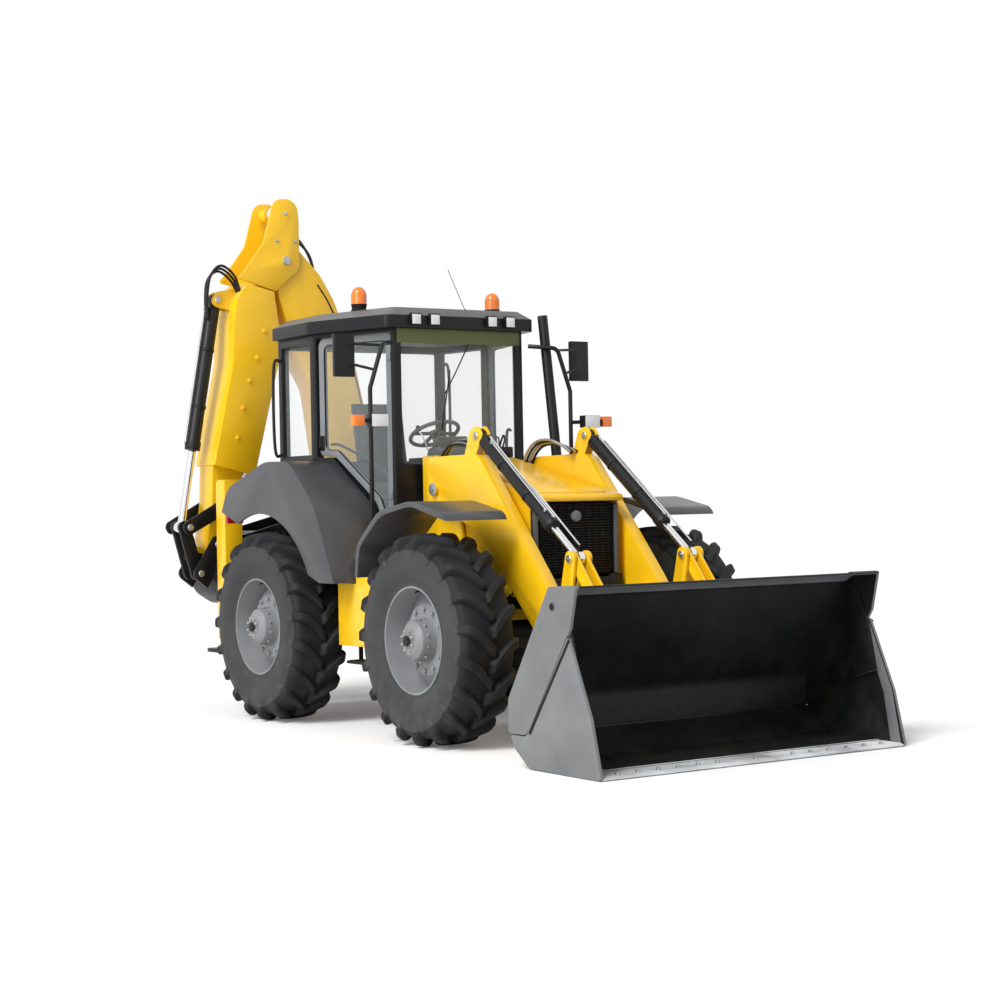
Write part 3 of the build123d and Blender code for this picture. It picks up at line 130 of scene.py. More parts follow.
def newMaterial(name):
    mat = bpy.data.materials.new(name)
    mat.use_nodes = True
    tree = mat.node_tree
    return mat, tree, tree.nodes["Principled BSDF"]


def addNode(tree, kind, **settings):
    node = tree.nodes.new(kind)
    for key, value in settings.items():
        if hasattr(node, key):
            setattr(node, key, value)
        else:
            node.inputs[key.replace("_", " ")].default_value = value
    return node


def mixColor(tree, factor, first, second):
    node = tree.nodes.new("ShaderNodeMix")
    node.data_type = "RGBA"
    for socket, value in ((node.inputs[0], factor), (node.inputs[6], first), (node.inputs[7], second)):
        if isinstance(value, bpy.types.NodeSocket):
            tree.links.new(value, socket)
        else:
            socket.default_value = value
    return node.outputs[2]


def mathNode(tree, operation, first, second, clamp=False):
    node = tree.nodes.new("ShaderNodeMath")
    node.operation = operation
    node.use_clamp = clamp
    for socket, value in ((node.inputs[0], first), (node.inputs[1], second)):
        if isinstance(value, bpy.types.NodeSocket):
            tree.links.new(value, socket)
        else:
            socket.default_value = value
    return node.outputs[0]


def noise(tree, coords, scale, detail=4.0, rough=0.55):
    node = addNode(tree, "ShaderNodeTexNoise", Scale=scale, Detail=detail, Roughness=rough)
    tree.links.new(coords, node.inputs["Vector"])
    return node.outputs["Fac"]


def remap(tree, value, fromMin, fromMax, toMin, toMax):
    node = addNode(tree, "ShaderNodeMapRange", From_Min=fromMin, From_Max=fromMax, To_Min=toMin, To_Max=toMax)
    tree.links.new(value, node.inputs["Value"])
    return node.outputs["Result"]


def edgeMask(tree, coords):
    bevel = addNode(tree, "ShaderNodeBevel", samples=4, Radius=wearRadius)
    geometry = tree.nodes.new("ShaderNodeNewGeometry")
    dot = tree.nodes.new("ShaderNodeVectorMath")
    dot.operation = "DOT_PRODUCT"
    tree.links.new(bevel.outputs["Normal"], dot.inputs[0])
    tree.links.new(geometry.outputs["Normal"], dot.inputs[1])
    edge = remap(tree, dot.outputs["Value"], 0.98, 0.80, 0.0, 1.0)
    patches = remap(tree, noise(tree, coords, 26.0, 5.0, 0.7), 0.50, 0.66, 0.0, 1.0)
    return mathNode(tree, "MULTIPLY", edge, patches, True)


def makeFinish(name, look):
    mat, tree, shader = newMaterial(name)
    coords = tree.nodes.new("ShaderNodeTexCoord").outputs["Object"]
    base = look["color"] + (1,)
    vary = look.get("vary", 0.1)
    darker = tuple(c * (1 - vary) for c in look["color"]) + (1,)
    lighter = tuple(min(1.0, c * (1 + vary)) for c in look["color"]) + (1,)
    broad = noise(tree, coords, 2.3, 5.0)
    color = mixColor(tree, remap(tree, broad, 0.35, 0.65, 0.0, 1.0), darker, lighter)
    fine = noise(tree, coords, look["grainScale"], 3.0)
    rough = remap(tree, broad, 0.3, 0.7, look["rough"] * 0.88, look["rough"] * 1.12)
    if look.get("dust"):
        height = tree.nodes.new("ShaderNodeSeparateXYZ")
        tree.links.new(coords, height.inputs[0])
        low = remap(tree, height.outputs["Z"], 0.0, dustHeight, 1.0, 0.0)
        clouds = remap(tree, noise(tree, coords, 7.0, 6.0, 0.65), 0.42, 0.72, 0.0, 1.0)
        dusty = mathNode(tree, "MULTIPLY", mathNode(tree, "MULTIPLY", low, clouds), look["dust"], True)
        color = mixColor(tree, dusty, color, dustColor)
    if look.get("wear"):
        worn = mathNode(tree, "MULTIPLY", edgeMask(tree, coords), look["wear"], True)
        color = mixColor(tree, worn, color, wearColor)
    tree.links.new(color, shader.inputs["Base Color"])
    tree.links.new(rough, shader.inputs["Roughness"])
    shader.inputs["Metallic"].default_value = look.get("metal", 0.0)
    shader.inputs["Coat Weight"].default_value = look.get("coat", 0.0)
    shader.inputs["Coat Roughness"].default_value = 0.12
    shader.inputs["Specular IOR Level"].default_value = look.get("shine", 0.5)
    bump = addNode(tree, "ShaderNodeBump", Strength=look["grain"], Distance=0.002)
    tree.links.new(fine, bump.inputs["Height"])
    tree.links.new(bump.outputs["Normal"], shader.inputs["Normal"])
    mat.diffuse_color = base
    mat["slotName"] = look["slot"]
    return mat


materials = {name: makeFinish(name, look) for name, look in finishes.items()}

# See-through finishes, and the mirror's
clearFinishes = {
    "paneGlass": {"color": (0.80, 0.88, 0.89), "alpha": 0.07, "rough": 0.03, "shine": 0.35, "slot": "glass"},
    "bandGlass": {"color": (0.115, 0.140, 0.045), "alpha": 0.88, "rough": 0.12, "shine": 0.3, "slot": "glass"},
    "lampLens": {"color": (0.86, 0.88, 0.90), "alpha": 0.75, "rough": 0.08, "slot": "lamp_plastic"},
    "amberLens": {"color": (0.90, 0.20, 0.008), "alpha": 0.95, "rough": 0.12, "slot": "lamp_plastic"},
    "redLens": {"color": (0.50, 0.012, 0.008), "alpha": 0.95, "rough": 0.12, "slot": "lamp_plastic"},
    "mirrorFace": {"color": (0.62, 0.66, 0.70), "alpha": 1.0, "rough": 0.04, "metal": 1.0, "slot": "glass"},
}


def makeClear(name, look):
    mat, tree, shader = newMaterial(name)
    coords = tree.nodes.new("ShaderNodeTexCoord").outputs["Object"]
    streaks = noise(tree, coords, 4.0, 6.0, 0.6)
    tree.links.new(remap(tree, streaks, 0.3, 0.7, look["rough"] * 0.7, look["rough"] * 1.6),
                   shader.inputs["Roughness"])
    shade = tuple(c * 0.92 for c in look["color"]) + (1,)
    color = mixColor(tree, streaks, shade, look["color"] + (1,))
    tree.links.new(color, shader.inputs["Base Color"])
    shader.inputs["Metallic"].default_value = look.get("metal", 0.0)
    shader.inputs["Alpha"].default_value = look["alpha"]
    shader.inputs["Specular IOR Level"].default_value = look.get("shine", 0.8)
    mat["slotName"] = look["slot"]
    return mat


materials.update({name: makeClear(name, look) for name, look in clearFinishes.items()})


print("stage: helpers")


def finishPiece(piece, material, body, smooth=35.0, replaced=()):
    mesh = piece.data
    if not mesh.materials:
        mesh.materials.append(materials[material])
    mesh.shade_smooth()
    mesh.set_sharp_from_angle(angle=math.radians(smooth))
    if body:                       # a piece that bends between two bodies rides on neither
        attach(piece, body)
    if replaced:
        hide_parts(*replaced)
    return piece


def meshPiece(name, points, faces):
    mesh = bpy.data.meshes.new(name)
    mesh.from_pydata([tuple(p) for p in points], [], faces)
    work = bmesh.new()
    work.from_mesh(mesh)
    bmesh.ops.recalc_face_normals(work, faces=work.faces)
    work.to_mesh(mesh)
    work.free()
    piece = bpy.data.objects.new(name, mesh)
    bpy.context.scene.collection.objects.link(piece)
    return piece


def joined(name, pieces):
    points, faces, indices, used = [], [], [], []
    for piece in pieces:
        start = len(points)
        mesh = piece.data
        points += [v.co.copy() for v in mesh.vertices]
        for face in mesh.polygons:
            faces.append([start + i for i in face.vertices])
            mat = mesh.materials[face.material_index] if mesh.materials else None
            if mat not in used:
                used.append(mat)
            indices.append(used.index(mat))
        bpy.data.objects.remove(piece)
    mesh = bpy.data.meshes.new(name)
    mesh.from_pydata([tuple(p) for p in points], [], faces)
    for mat in used:
        if mat is not None:
            mesh.materials.append(mat)
    for face, index in zip(mesh.polygons, indices):
        face.material_index = index if mesh.materials else 0
    piece = bpy.data.objects.new(name, mesh)
    bpy.context.scene.collection.objects.link(piece)
    return piece


def rounded(piece, width, segments=2, angle=30.0):
    work = bmesh.new()
    work.from_mesh(piece.data)
    limit = math.radians(angle)
    edges = [e for e in work.edges if len(e.link_faces) == 2 and e.calc_face_angle(0.0) > limit]
    bmesh.ops.bevel(work, geom=edges, offset=width, segments=segments, affect="EDGES", profile=0.5,
                    clamp_overlap=True)
    work.to_mesh(piece.data)
    work.free()
    return piece


def slab(name, low, high, round=0.004):
    xs, ys, zs = ((low[i], high[i]) for i in range(3))
    points = [(x, y, z) for x in xs for y in ys for z in zs]
    faces = [(0, 1, 3, 2), (4, 6, 7, 5), (0, 4, 5, 1), (2, 3, 7, 6), (0, 2, 6, 4), (1, 5, 7, 3)]
    piece = meshPiece(name, points, faces)
    return rounded(piece, round) if round else piece


def sideSlab(name, sign, x, y, z, round=0.004):
    # Block between two x, two distances from the middle plane and two heights, on one side of the machine
    low, high = sorted((sign * y[0], sign * y[1]))
    return slab(name, spot(x[0], low, z[0]), spot(x[1], high, z[1]), round)


def turnedSlab(name, centre, size, turn, round=0.004):
    half = Vector(size) / 2
    piece = slab(name, -half, half, round)
    piece.data.transform(Matrix.Translation(centre) @ turn.to_4x4())
    return piece


def extruded(name, rows, place, depth, round=0.003):
    count = len(rows)
    points = [place @ Vector((u, v, 0)) for u, v in rows] + [place @ Vector((u, v, depth)) for u, v in rows]
    faces = [list(range(count))[::-1], list(range(count, 2 * count))]
    faces += [(i, (i + 1) % count, count + (i + 1) % count, count + i) for i in range(count)]
    piece = meshPiece(name, points, faces)
    return rounded(piece, round) if round else piece


def lathe(name, rows, place, segments=40):
    points, faces = [], []
    for radius, height in rows:
        ring = 1 if radius < tiny else segments
        for i in range(ring):
            a = 2 * math.pi * i / segments
            points.append(place @ Vector((radius * math.cos(a), radius * math.sin(a), height)))
    starts, at = [], 0
    for radius, height in rows:
        starts.append((at, radius < tiny))
        at += 1 if radius < tiny else segments
    for (a, aPoint), (b, bPoint) in zip(starts, starts[1:]):
        for i in range(segments):
            j = (i + 1) % segments
            if aPoint:
                faces.append((a, b + j, b + i))
            elif bPoint:
                faces.append((a + i, a + j, b))
            else:
                faces.append((a + i, a + j, b + j, b + i))
    return meshPiece(name, points, faces)


def curvePath(points, perSpan=8):
    line = [Vector(p) for p in points]
    ends = [line[0] * 2 - line[1]] + line + [line[-1] * 2 - line[-2]]
    path = []
    for k in range(1, len(ends) - 2):
        a, b, c, d = ends[k - 1:k + 3]
        for i in range(perSpan):
            t = i / perSpan
            path.append(0.5 * ((2 * b) + (c - a) * t + (2 * a - 5 * b + 4 * c - d) * t * t
                               + (3 * b - a - 3 * c + d) * t ** 3))
    path.append(line[-1])
    return path


def tube(name, points, radius, sides=12, curved=True, perSpan=8):
    path = curvePath(points, perSpan) if curved else [Vector(p) for p in points]
    verts, faces = [], []
    normal = None
    for k, p in enumerate(path):
        ahead = path[min(k + 1, len(path) - 1)] - path[max(k - 1, 0)]
        ahead.normalize()
        if normal is None:
            normal = ahead.orthogonal().normalized()
        normal = (normal - ahead * normal.dot(ahead)).normalized()
        across = ahead.cross(normal)
        for i in range(sides):
            a = 2 * math.pi * i / sides
            verts.append(p + (normal * math.cos(a) + across * math.sin(a)) * radius)
    for k in range(len(path) - 1):
        for i in range(sides):
            j = (i + 1) % sides
            faces.append((k * sides + i, k * sides + j, (k + 1) * sides + j, (k + 1) * sides + i))
    faces.append(list(range(sides))[::-1])
    faces.append([(len(path) - 1) * sides + i for i in range(sides)])
    return meshPiece(name, verts, faces)


def facing(centre, aim, up=(0, 0, 1)):
    z = Vector(aim).normalized()
    x = Vector(up).cross(z)
    if x.length < 1e-6:
        x = Vector((1, 0, 0)) if abs(z.x) < 0.9 else Vector((0, 1, 0))
    x.normalize()
    y = z.cross(x)
    turn = Matrix((x, y, z)).transposed().to_4x4()
    return Matrix.Translation(Vector(centre)) @ turn


def fromNodes(name, group, values, host=None):
    mesh = host.data if host else bpy.data.meshes.new(name)
    carrier = bpy.data.objects.new(name + "_carrier", mesh)
    bpy.context.scene.collection.objects.link(carrier)
    modifier = carrier.modifiers.new("nodes", "NODES")
    modifier.node_group = group
    for item in group.interface.items_tree:
        if item.item_type == "SOCKET" and item.in_out == "INPUT" and item.name in values:
            modifier[item.identifier] = values[item.name]
    bpy.context.view_layer.update()
    graph = bpy.context.evaluated_depsgraph_get()
    result = bpy.data.meshes.new_from_object(carrier.evaluated_get(graph))
    result.name = name
    bpy.data.objects.remove(carrier)
    piece = bpy.data.objects.new(name, result)
    bpy.context.scene.collection.objects.link(piece)
    return piece


def startGroup(name, inputs):
    group = bpy.data.node_groups.new(name, "GeometryNodeTree")
    group.interface.new_socket("Geometry", in_out="INPUT", socket_type="NodeSocketGeometry")
    for label, kind in inputs:
        group.interface.new_socket(label, in_out="INPUT", socket_type=kind)
    group.interface.new_socket("Geometry", in_out="OUTPUT", socket_type="NodeSocketGeometry")
    start = group.nodes.new("NodeGroupInput")
    end = group.nodes.new("NodeGroupOutput")
    return group, start, end


def endGroup(group, start, end, instances):
    realize = group.nodes.new("GeometryNodeRealizeInstances")
    paint = group.nodes.new("GeometryNodeSetMaterial")
    group.links.new(instances, realize.inputs[0])
    group.links.new(realize.outputs[0], paint.inputs["Geometry"])
    group.links.new(start.outputs["Finish"], paint.inputs["Material"])
    group.links.new(paint.outputs[0], end.inputs[0])


def ringGroup():
    sockets = (("Piece", "NodeSocketObject"), ("Count", "NodeSocketInt"), ("Phase", "NodeSocketFloat"),
               ("Finish", "NodeSocketMaterial"))
    group, start, end = startGroup("ringOfPieces", sockets)
    line = group.nodes.new("GeometryNodeMeshLine")
    line.inputs["Offset"].default_value = (0, 0, 0)
    index = group.nodes.new("GeometryNodeInputIndex")
    info = group.nodes.new("GeometryNodeObjectInfo")
    place = group.nodes.new("GeometryNodeInstanceOnPoints")
    spin = group.nodes.new("ShaderNodeCombineXYZ")
    step = group.nodes.new("ShaderNodeMath")
    step.operation = "DIVIDE"
    turn = group.nodes.new("ShaderNodeMath")
    turn.operation = "MULTIPLY_ADD"
    step.inputs[0].default_value = 2 * math.pi
    group.links.new(start.outputs["Count"], line.inputs["Count"])
    group.links.new(start.outputs["Count"], step.inputs[1])
    group.links.new(index.outputs[0], turn.inputs[0])
    group.links.new(step.outputs[0], turn.inputs[1])
    group.links.new(start.outputs["Phase"], turn.inputs[2])
    group.links.new(turn.outputs[0], spin.inputs["Y"])
    group.links.new(start.outputs["Piece"], info.inputs["Object"])
    group.links.new(line.outputs[0], place.inputs["Points"])
    group.links.new(info.outputs["Geometry"], place.inputs["Instance"])
    group.links.new(spin.outputs[0], place.inputs["Rotation"])
    endGroup(group, start, end, place.outputs[0])
    return group


def rowGroup():
    sockets = (("Piece", "NodeSocketObject"), ("Count", "NodeSocketInt"), ("Start", "NodeSocketVector"),
               ("Step", "NodeSocketVector"), ("Finish", "NodeSocketMaterial"))
    group, start, end = startGroup("rowOfPieces", sockets)
    line = group.nodes.new("GeometryNodeMeshLine")
    info = group.nodes.new("GeometryNodeObjectInfo")
    place = group.nodes.new("GeometryNodeInstanceOnPoints")
    group.links.new(start.outputs["Count"], line.inputs["Count"])
    group.links.new(start.outputs["Start"], line.inputs["Start Location"])
    group.links.new(start.outputs["Step"], line.inputs["Offset"])
    group.links.new(start.outputs["Piece"], info.inputs["Object"])
    group.links.new(line.outputs[0], place.inputs["Points"])
    group.links.new(info.outputs["Geometry"], place.inputs["Instance"])
    endGroup(group, start, end, place.outputs[0])
    return group


def boltGroup():
    sockets = (("Piece", "NodeSocketObject"), ("Size", "NodeSocketFloat"), ("Finish", "NodeSocketMaterial"))
    group, start, end = startGroup("boltsOnPoints", sockets)
    info = group.nodes.new("GeometryNodeObjectInfo")
    place = group.nodes.new("GeometryNodeInstanceOnPoints")
    aim = group.nodes.new("GeometryNodeInputNamedAttribute")
    aim.data_type = "FLOAT_VECTOR"
    aim.inputs["Name"].default_value = "aim"
    align = group.nodes.new("FunctionNodeAlignRotationToVector")
    align.axis = "Z"
    group.links.new(start.outputs["Geometry"], place.inputs["Points"])
    group.links.new(start.outputs["Piece"], info.inputs["Object"])
    group.links.new(info.outputs["Geometry"], place.inputs["Instance"])
    group.links.new(aim.outputs["Attribute"], align.inputs["Vector"])
    group.links.new(align.outputs["Rotation"], place.inputs["Rotation"])
    group.links.new(start.outputs["Size"], place.inputs["Scale"])
    endGroup(group, start, end, place.outputs[0])
    return group


groups = {"ring": ringGroup(), "row": rowGroup(), "bolts": boltGroup()}


def masterBolt():
    washer = lathe("washer", [(0, 0), (0.5, 0), (0.5, 0.06), (0.46, 0.09), (0, 0.09)], Matrix.Identity(4), 20)
    head = lathe("head", [(0, 0.09), (0.36, 0.09), (0.36, 0.40), (0.30, 0.47), (0, 0.49)], Matrix.Identity(4), 6)
    piece = joined("boltMaster", [washer, head])
    piece.data.shade_flat()
    return piece


boltMaster = masterBolt()
templates = [boltMaster]


def bolts(name, places, body, size=0.03, material="boltZinc"):
    mesh = bpy.data.meshes.new(name)
    mesh.from_pydata([tuple(p) for p, _ in places], [], [])
    aim = mesh.attributes.new("aim", "FLOAT_VECTOR", "POINT")
    for i, (_, direction) in enumerate(places):
        aim.data[i].vector = Vector(direction).normalized()
    host = bpy.data.objects.new(name + "_points", mesh)
    values = {"Piece": boltMaster, "Size": size, "Finish": materials[material]}
    piece = fromNodes(name, groups["bolts"], values, host)
    bpy.data.objects.remove(host)
    return finishPiece(piece, material, body, 25.0)


def row(name, master, count, start, step, material, body):
    values = {"Piece": master, "Count": count, "Start": start, "Step": step, "Finish": materials[material]}
    piece = fromNodes(name, groups["row"], values)
    templates.append(master)
    return finishPiece(piece, material, body)


def paintFaces(piece, material, chosen):
    mesh = piece.data
    mat = materials[material]
    if mat.name not in [m.name for m in mesh.materials]:
        mesh.materials.append(mat)
    index = [m.name for m in mesh.materials].index(mat.name)
    for face in mesh.polygons:
        centre = face.center - Vector((axleX, 0, 0))
        if chosen(centre, face.normal):
            face.material_index = index


print("stage: CAD skins")

# Finish of each CAD node, the width its edges are rounded by, and the body it rides on
skins = {
    "chassis": ("blackPaint", 0.004), "engine_block": ("castIron", 0.012), "driveline": ("castIron", 0.008),
    "front_axle": ("blackPaint", 0.008), "rear_axle": ("blackPaint", 0.008),
    "stabiliser_leg_left": ("yellowPaint", 0.004), "stabiliser_leg_right": ("yellowPaint", 0.004),
    "loader_arms": ("yellowPaint", 0.006), "lift_barrels": ("blackPaint", 0.003), "lift_rods": ("chrome", 0.002),
    "tilt_barrels": ("blackPaint", 0.003), "tilt_rods": ("chrome", 0.002), "tilt_levers": ("yellowPaint", 0.003),
    "tilt_links": ("yellowPaint", 0.002), "bucket_back": ("bucketGrey", 0.003),
    "bucket_clam": ("bucketGrey", 0.003), "carriage": ("blackPaint", 0.005),
    "swing_post": ("yellowPaint", 0.005), "boom": ("yellowPaint", 0.005),
    "dipper": ("yellowPaint", 0.005), "dipper_extension": ("yellowPaint", 0.005),
    "boom_barrel": ("blackPaint", 0.003), "boom_rod": ("chrome", 0.002), "dipper_barrel": ("blackPaint", 0.003),
    "dipper_rod": ("chrome", 0.002), "crowd_barrel": ("blackPaint", 0.003), "crowd_rod": ("chrome", 0.002),
    "rockers": ("blackPaint", 0.003), "hoe_link": ("blackPaint", 0.004), "hoe_bucket": ("blackPaint", 0.004),
    "cab_frame": ("cabBlack", 0.006), "cab_roof": ("roofPlastic", 0.012), "door_frame_left": ("doorGrey", 0.006),
    "door_frame_right": ("doorGrey", 0.006), "console": ("trimGrey", 0.006), "hood": ("yellowPaint", 0.010),
    "grille": ("sealRubber", 0.004), "fenders": ("fenderPlastic", 0.012), "side_boxes": ("yellowPaint", 0.012),
    "lamp_posts": ("cabBlack", 0.003), "exhaust": ("cabBlack", 0.003),
}
for corner in ("front", "rear"):
    for side in sides:
        skins[f"rim_{corner}_{side}"] = ("rimGrey", 0.003)
        skins[f"knuckle_{corner}_{side}"] = ("castIron", 0.006)
# Moulded pieces are shaded smooth over wider angles than plate work
skinAngles = {"fenders": 62.0, "exhaust": 50.0}
nodeBody = {node: body for body, held in frame["record"]["behaviour"]["bodies"].items() for node in held}


def skin(node, material, width):
    mesh = nodes[node].data.copy()
    mesh.name = node + "_skin"
    mesh.materials.clear()
    work = bmesh.new()
    work.from_mesh(mesh)
    bmesh.ops.remove_doubles(work, verts=work.verts, dist=2e-5)
    flat = math.radians(0.5)
    bmesh.ops.dissolve_limit(work, angle_limit=flat, verts=work.verts, edges=work.edges, delimit={"NORMAL"})
    work.to_mesh(mesh)
    work.free()
    for name in ("custom_normal", "sharp_face", "sharp_edge"):
        if name in mesh.attributes:
            mesh.attributes.remove(mesh.attributes[name])
    piece = bpy.data.objects.new(node + "_skin", mesh)
    bpy.context.scene.collection.objects.link(piece)
    bevel = piece.modifiers.new("edges", "BEVEL")
    bevel.width = width
    bevel.segments = 2
    bevel.limit_method = "ANGLE"
    bevel.angle_limit = math.radians(35)
    bevel.use_clamp_overlap = True
    bpy.context.view_layer.update()
    graph = bpy.context.evaluated_depsgraph_get()
    result = bpy.data.meshes.new_from_object(piece.evaluated_get(graph))
    piece.modifiers.clear()
    piece.data = result
    result.name = node + "_skin"
    return finishPiece(piece, material, nodeBody[node], skinAngles.get(node, 32.0), (node,))


skinned = {node: skin(node, material, width) for node, (material, width) in skins.items()}

for node in ("cab_glass", "door_glass_left", "door_glass_right"):
    pane = nodes[node]
    for materialSlot in pane.material_slots:
        materialSlot.material = materials["paneGlass"]

# Two-tone pieces: which faces of a CAD skin take another finish
rearFrameFront = -0.84
towerRear, towerFront, towerInner = 1.25, 1.73, 0.385
bucketInner = 1.196
edgeTop = 0.0265


def inBucket(centre, normal):
    if abs(normal.y) > 0.9:
        return abs(centre.y) < bucketInner and normal.y * centre.y < 0
    return abs(centre.y) < bucketInner and normal.x + normal.z * 0.6 > 0.25


paintFaces(skinned["chassis"], "yellowPaint", lambda c, n: c.x < rearFrameFront and abs(c.y) > 0.8)
paintFaces(skinned["chassis"], "yellowPaint",
           lambda c, n: towerRear < c.x < towerFront and abs(c.y) > towerInner and c.z > 1.12)
paintFaces(skinned["bucket_back"], "bucketInside", inBucket)
paintFaces(skinned["bucket_clam"], "bucketInside", inBucket)
paintFaces(skinned["bucket_clam"], "cuttingEdge", lambda c, n: c.x > 4.085 and c.z < edgeTop and abs(c.y) < 1.2)
paintFaces(skinned["cab_roof"], "cabBlack", lambda c, n: n.z < 0.6)
paintFaces(skinned["lamp_posts"], "amberLens", lambda c, n: abs(c.y) > 1.029 and c.z < 2.3 and c.x > 1.37)
for side in sides:
    paintFaces(skinned[f"stabiliser_leg_{side}"], "blackPaint", lambda c, n: c.z < 0.492)


print("stage: tyres and rims")

# Tread bars start past the tread's middle, sweep back and run down over the shoulder
tread = {"bars": 19, "lead": 0.078, "sweep": 0.155, "width": 0.064, "flare": 0.011, "chamfer": 0.008,
         "rows": 18, "end": 0.300, "shoulder": 0.205, "phase": 0.036, "wallStart": 0.184, "wallTop": 0.600}
# Carcass section from the middle of the tread to the bead: distance from the middle plane, radius
carcassRows = ((0.0, 0.6560), (0.100, 0.6535), (0.160, 0.6440), (0.188, 0.6260), (0.202, 0.5980), (0.2115, 0.5600),
               (0.2175, 0.5100), (0.2120, 0.4500), (0.1960, 0.4040), (0.1868, 0.3810), (0.1868, 0.3590))
# Bar height above the carcass, by distance along the section
barHeights = ((-0.02, 0.0470), (0.10, 0.0485), (0.165, 0.0500), (0.200, 0.0330), (0.232, 0.0155), (0.270, 0.0055),
              (0.300, -0.0040))


def between(table, value):
    for (a, fromA), (b, toB) in zip(table, table[1:]):
        if value <= b:
            t = max(0.0, (value - a) / (b - a))
            return fromA + (toB - fromA) * t
    return table[-1][1]


smoothSection = [Vector((p.x, p.z)) for p in curvePath([(y, 0, r) for y, r in carcassRows], 5)]
sectionLengths = [0.0]
for previous, following in zip(smoothSection, smoothSection[1:]):
    sectionLengths.append(sectionLengths[-1] + (following - previous).length)


def onSection(distance):
    if distance <= 0:
        return Vector((distance, carcassRows[0][1])), Vector((0, 1))
    for k in range(len(smoothSection) - 1):
        if distance <= sectionLengths[k + 1]:
            along = smoothSection[k + 1] - smoothSection[k]
            t = (distance - sectionLengths[k]) / along.length
            out = Vector((-along.y, along.x)).normalized()
            return smoothSection[k] + along * t, (out if out.y > 0 or out.x > 0 else -out)
    return smoothSection[-1], Vector((1, 0))


def treadBar(name, flip):
    half = tread["width"] / 2
    points, faces = [], []
    for k in range(tread["rows"] + 1):
        t = k / tread["rows"]
        s = -0.012 + t * (tread["end"] + 0.012)
        place, out = onSection(s)
        height = between(barHeights, s) * (0.75 if k == 0 else 1.0)
        reach = min(1.0, max(0.0, s / tread["shoulder"]))
        centre = tread["lead"] - tread["sweep"] * (1 - (1 - reach) ** 1.7)
        cut = tread["chamfer"]
        for across, level in ((-half - tread["flare"], -0.006), (-half, height - cut), (-half + cut, height),
                              (half - cut, height), (half, height - cut), (half + tread["flare"], -0.006)):
            spotNow = place + out * min(level, height)
            turn = (centre + across) / carcassRows[0][1]
            points.append((spotNow.y * math.sin(turn), spotNow.x * flip, spotNow.y * math.cos(turn)))
    for k in range(tread["rows"]):
        for i in range(6):
            j = (i + 1) % 6
            faces.append((k * 6 + i, k * 6 + j, (k + 1) * 6 + j, (k + 1) * 6 + i))
    faces.append((0, 1, 2, 3, 4, 5))
    faces.append(tuple(tread["rows"] * 6 + i for i in range(6)))
    return meshPiece(name, points, faces)


def carcass():
    # Half sections are mirrored into one closed ring, with ribs around the sidewall
    rows = [(p.y, p.x) for p in smoothSection]
    closed = [(r, -y) for r, y in rows[:0:-1]] + rows
    closed.append(closed[0])
    turn = Matrix.Rotation(-math.pi / 2, 4, "X")
    return lathe("carcass", closed, turn, 114)


# Ribs are placed by trying distances along the section
sidewall = {"from": 0.200, "step": 0.004, "tries": 70, "ribs": (0.440, 0.472), "ribWidth": 0.004}


def sidewallRib(radius, width, side):
    tries = (onSection(sidewall["from"] + k * sidewall["step"])[0] for k in range(sidewall["tries"]))
    y = min(tries, key=lambda place: abs(place.y - radius)).x - 0.001
    rows = [(radius - width, y - 0.004), (radius - width * 0.6, y + 0.0012), (radius + width * 0.6, y + 0.0012),
            (radius + width, y - 0.004), (radius - width, y - 0.004)]
    turn = Matrix.Rotation(-math.pi / 2, 4, "X") if side > 0 else Matrix.Rotation(math.pi / 2, 4, "X")
    return lathe("rib", rows, turn, 96)


def tyreMaster():
    pieces = [carcass()]
    for flip, phase in ((1, tread["phase"]), (-1, tread["phase"] + math.pi / tread["bars"])):
        bar = treadBar("barMaster", flip)
        values = {"Piece": bar, "Count": tread["bars"], "Phase": phase, "Finish": materials["tyreRubber"]}
        pieces.append(fromNodes("bars", groups["ring"], values))
        bpy.data.objects.remove(bar)
    pieces += [sidewallRib(r, sidewall["ribWidth"], s) for r in sidewall["ribs"] for s in (1, -1)]
    master = joined("tyreMaster", pieces)
    master.data.materials.clear()
    for name in ("tyreRubber", "tyreWall"):
        master.data.materials.append(materials[name])
    for face in master.data.polygons:
        radius = math.hypot(face.center.x, face.center.z)
        face.material_index = int(abs(face.center.y) > tread["wallStart"] and radius < tread["wallTop"])
    return master


def copyPiece(piece, name, move):
    mesh = piece.data.copy()
    mesh.transform(move)
    copy = bpy.data.objects.new(name, mesh)
    bpy.context.scene.collection.objects.link(copy)
    return copy


axles = (("front", wheelbase), ("rear", 0.0))
master = tyreMaster()
for corner, along in axles:
    for side, sign in sides.items():
        centre = spot(along, sign * wheelY, wheelZ)
        tyre = copyPiece(master, f"tyre_{corner}_{side}_tread", Matrix.Translation(centre))
        finishPiece(tyre, "tyreRubber", f"wheel_{corner}_{side}", 38.0, (f"tyre_{corner}_{side}",))
bpy.data.objects.remove(master)

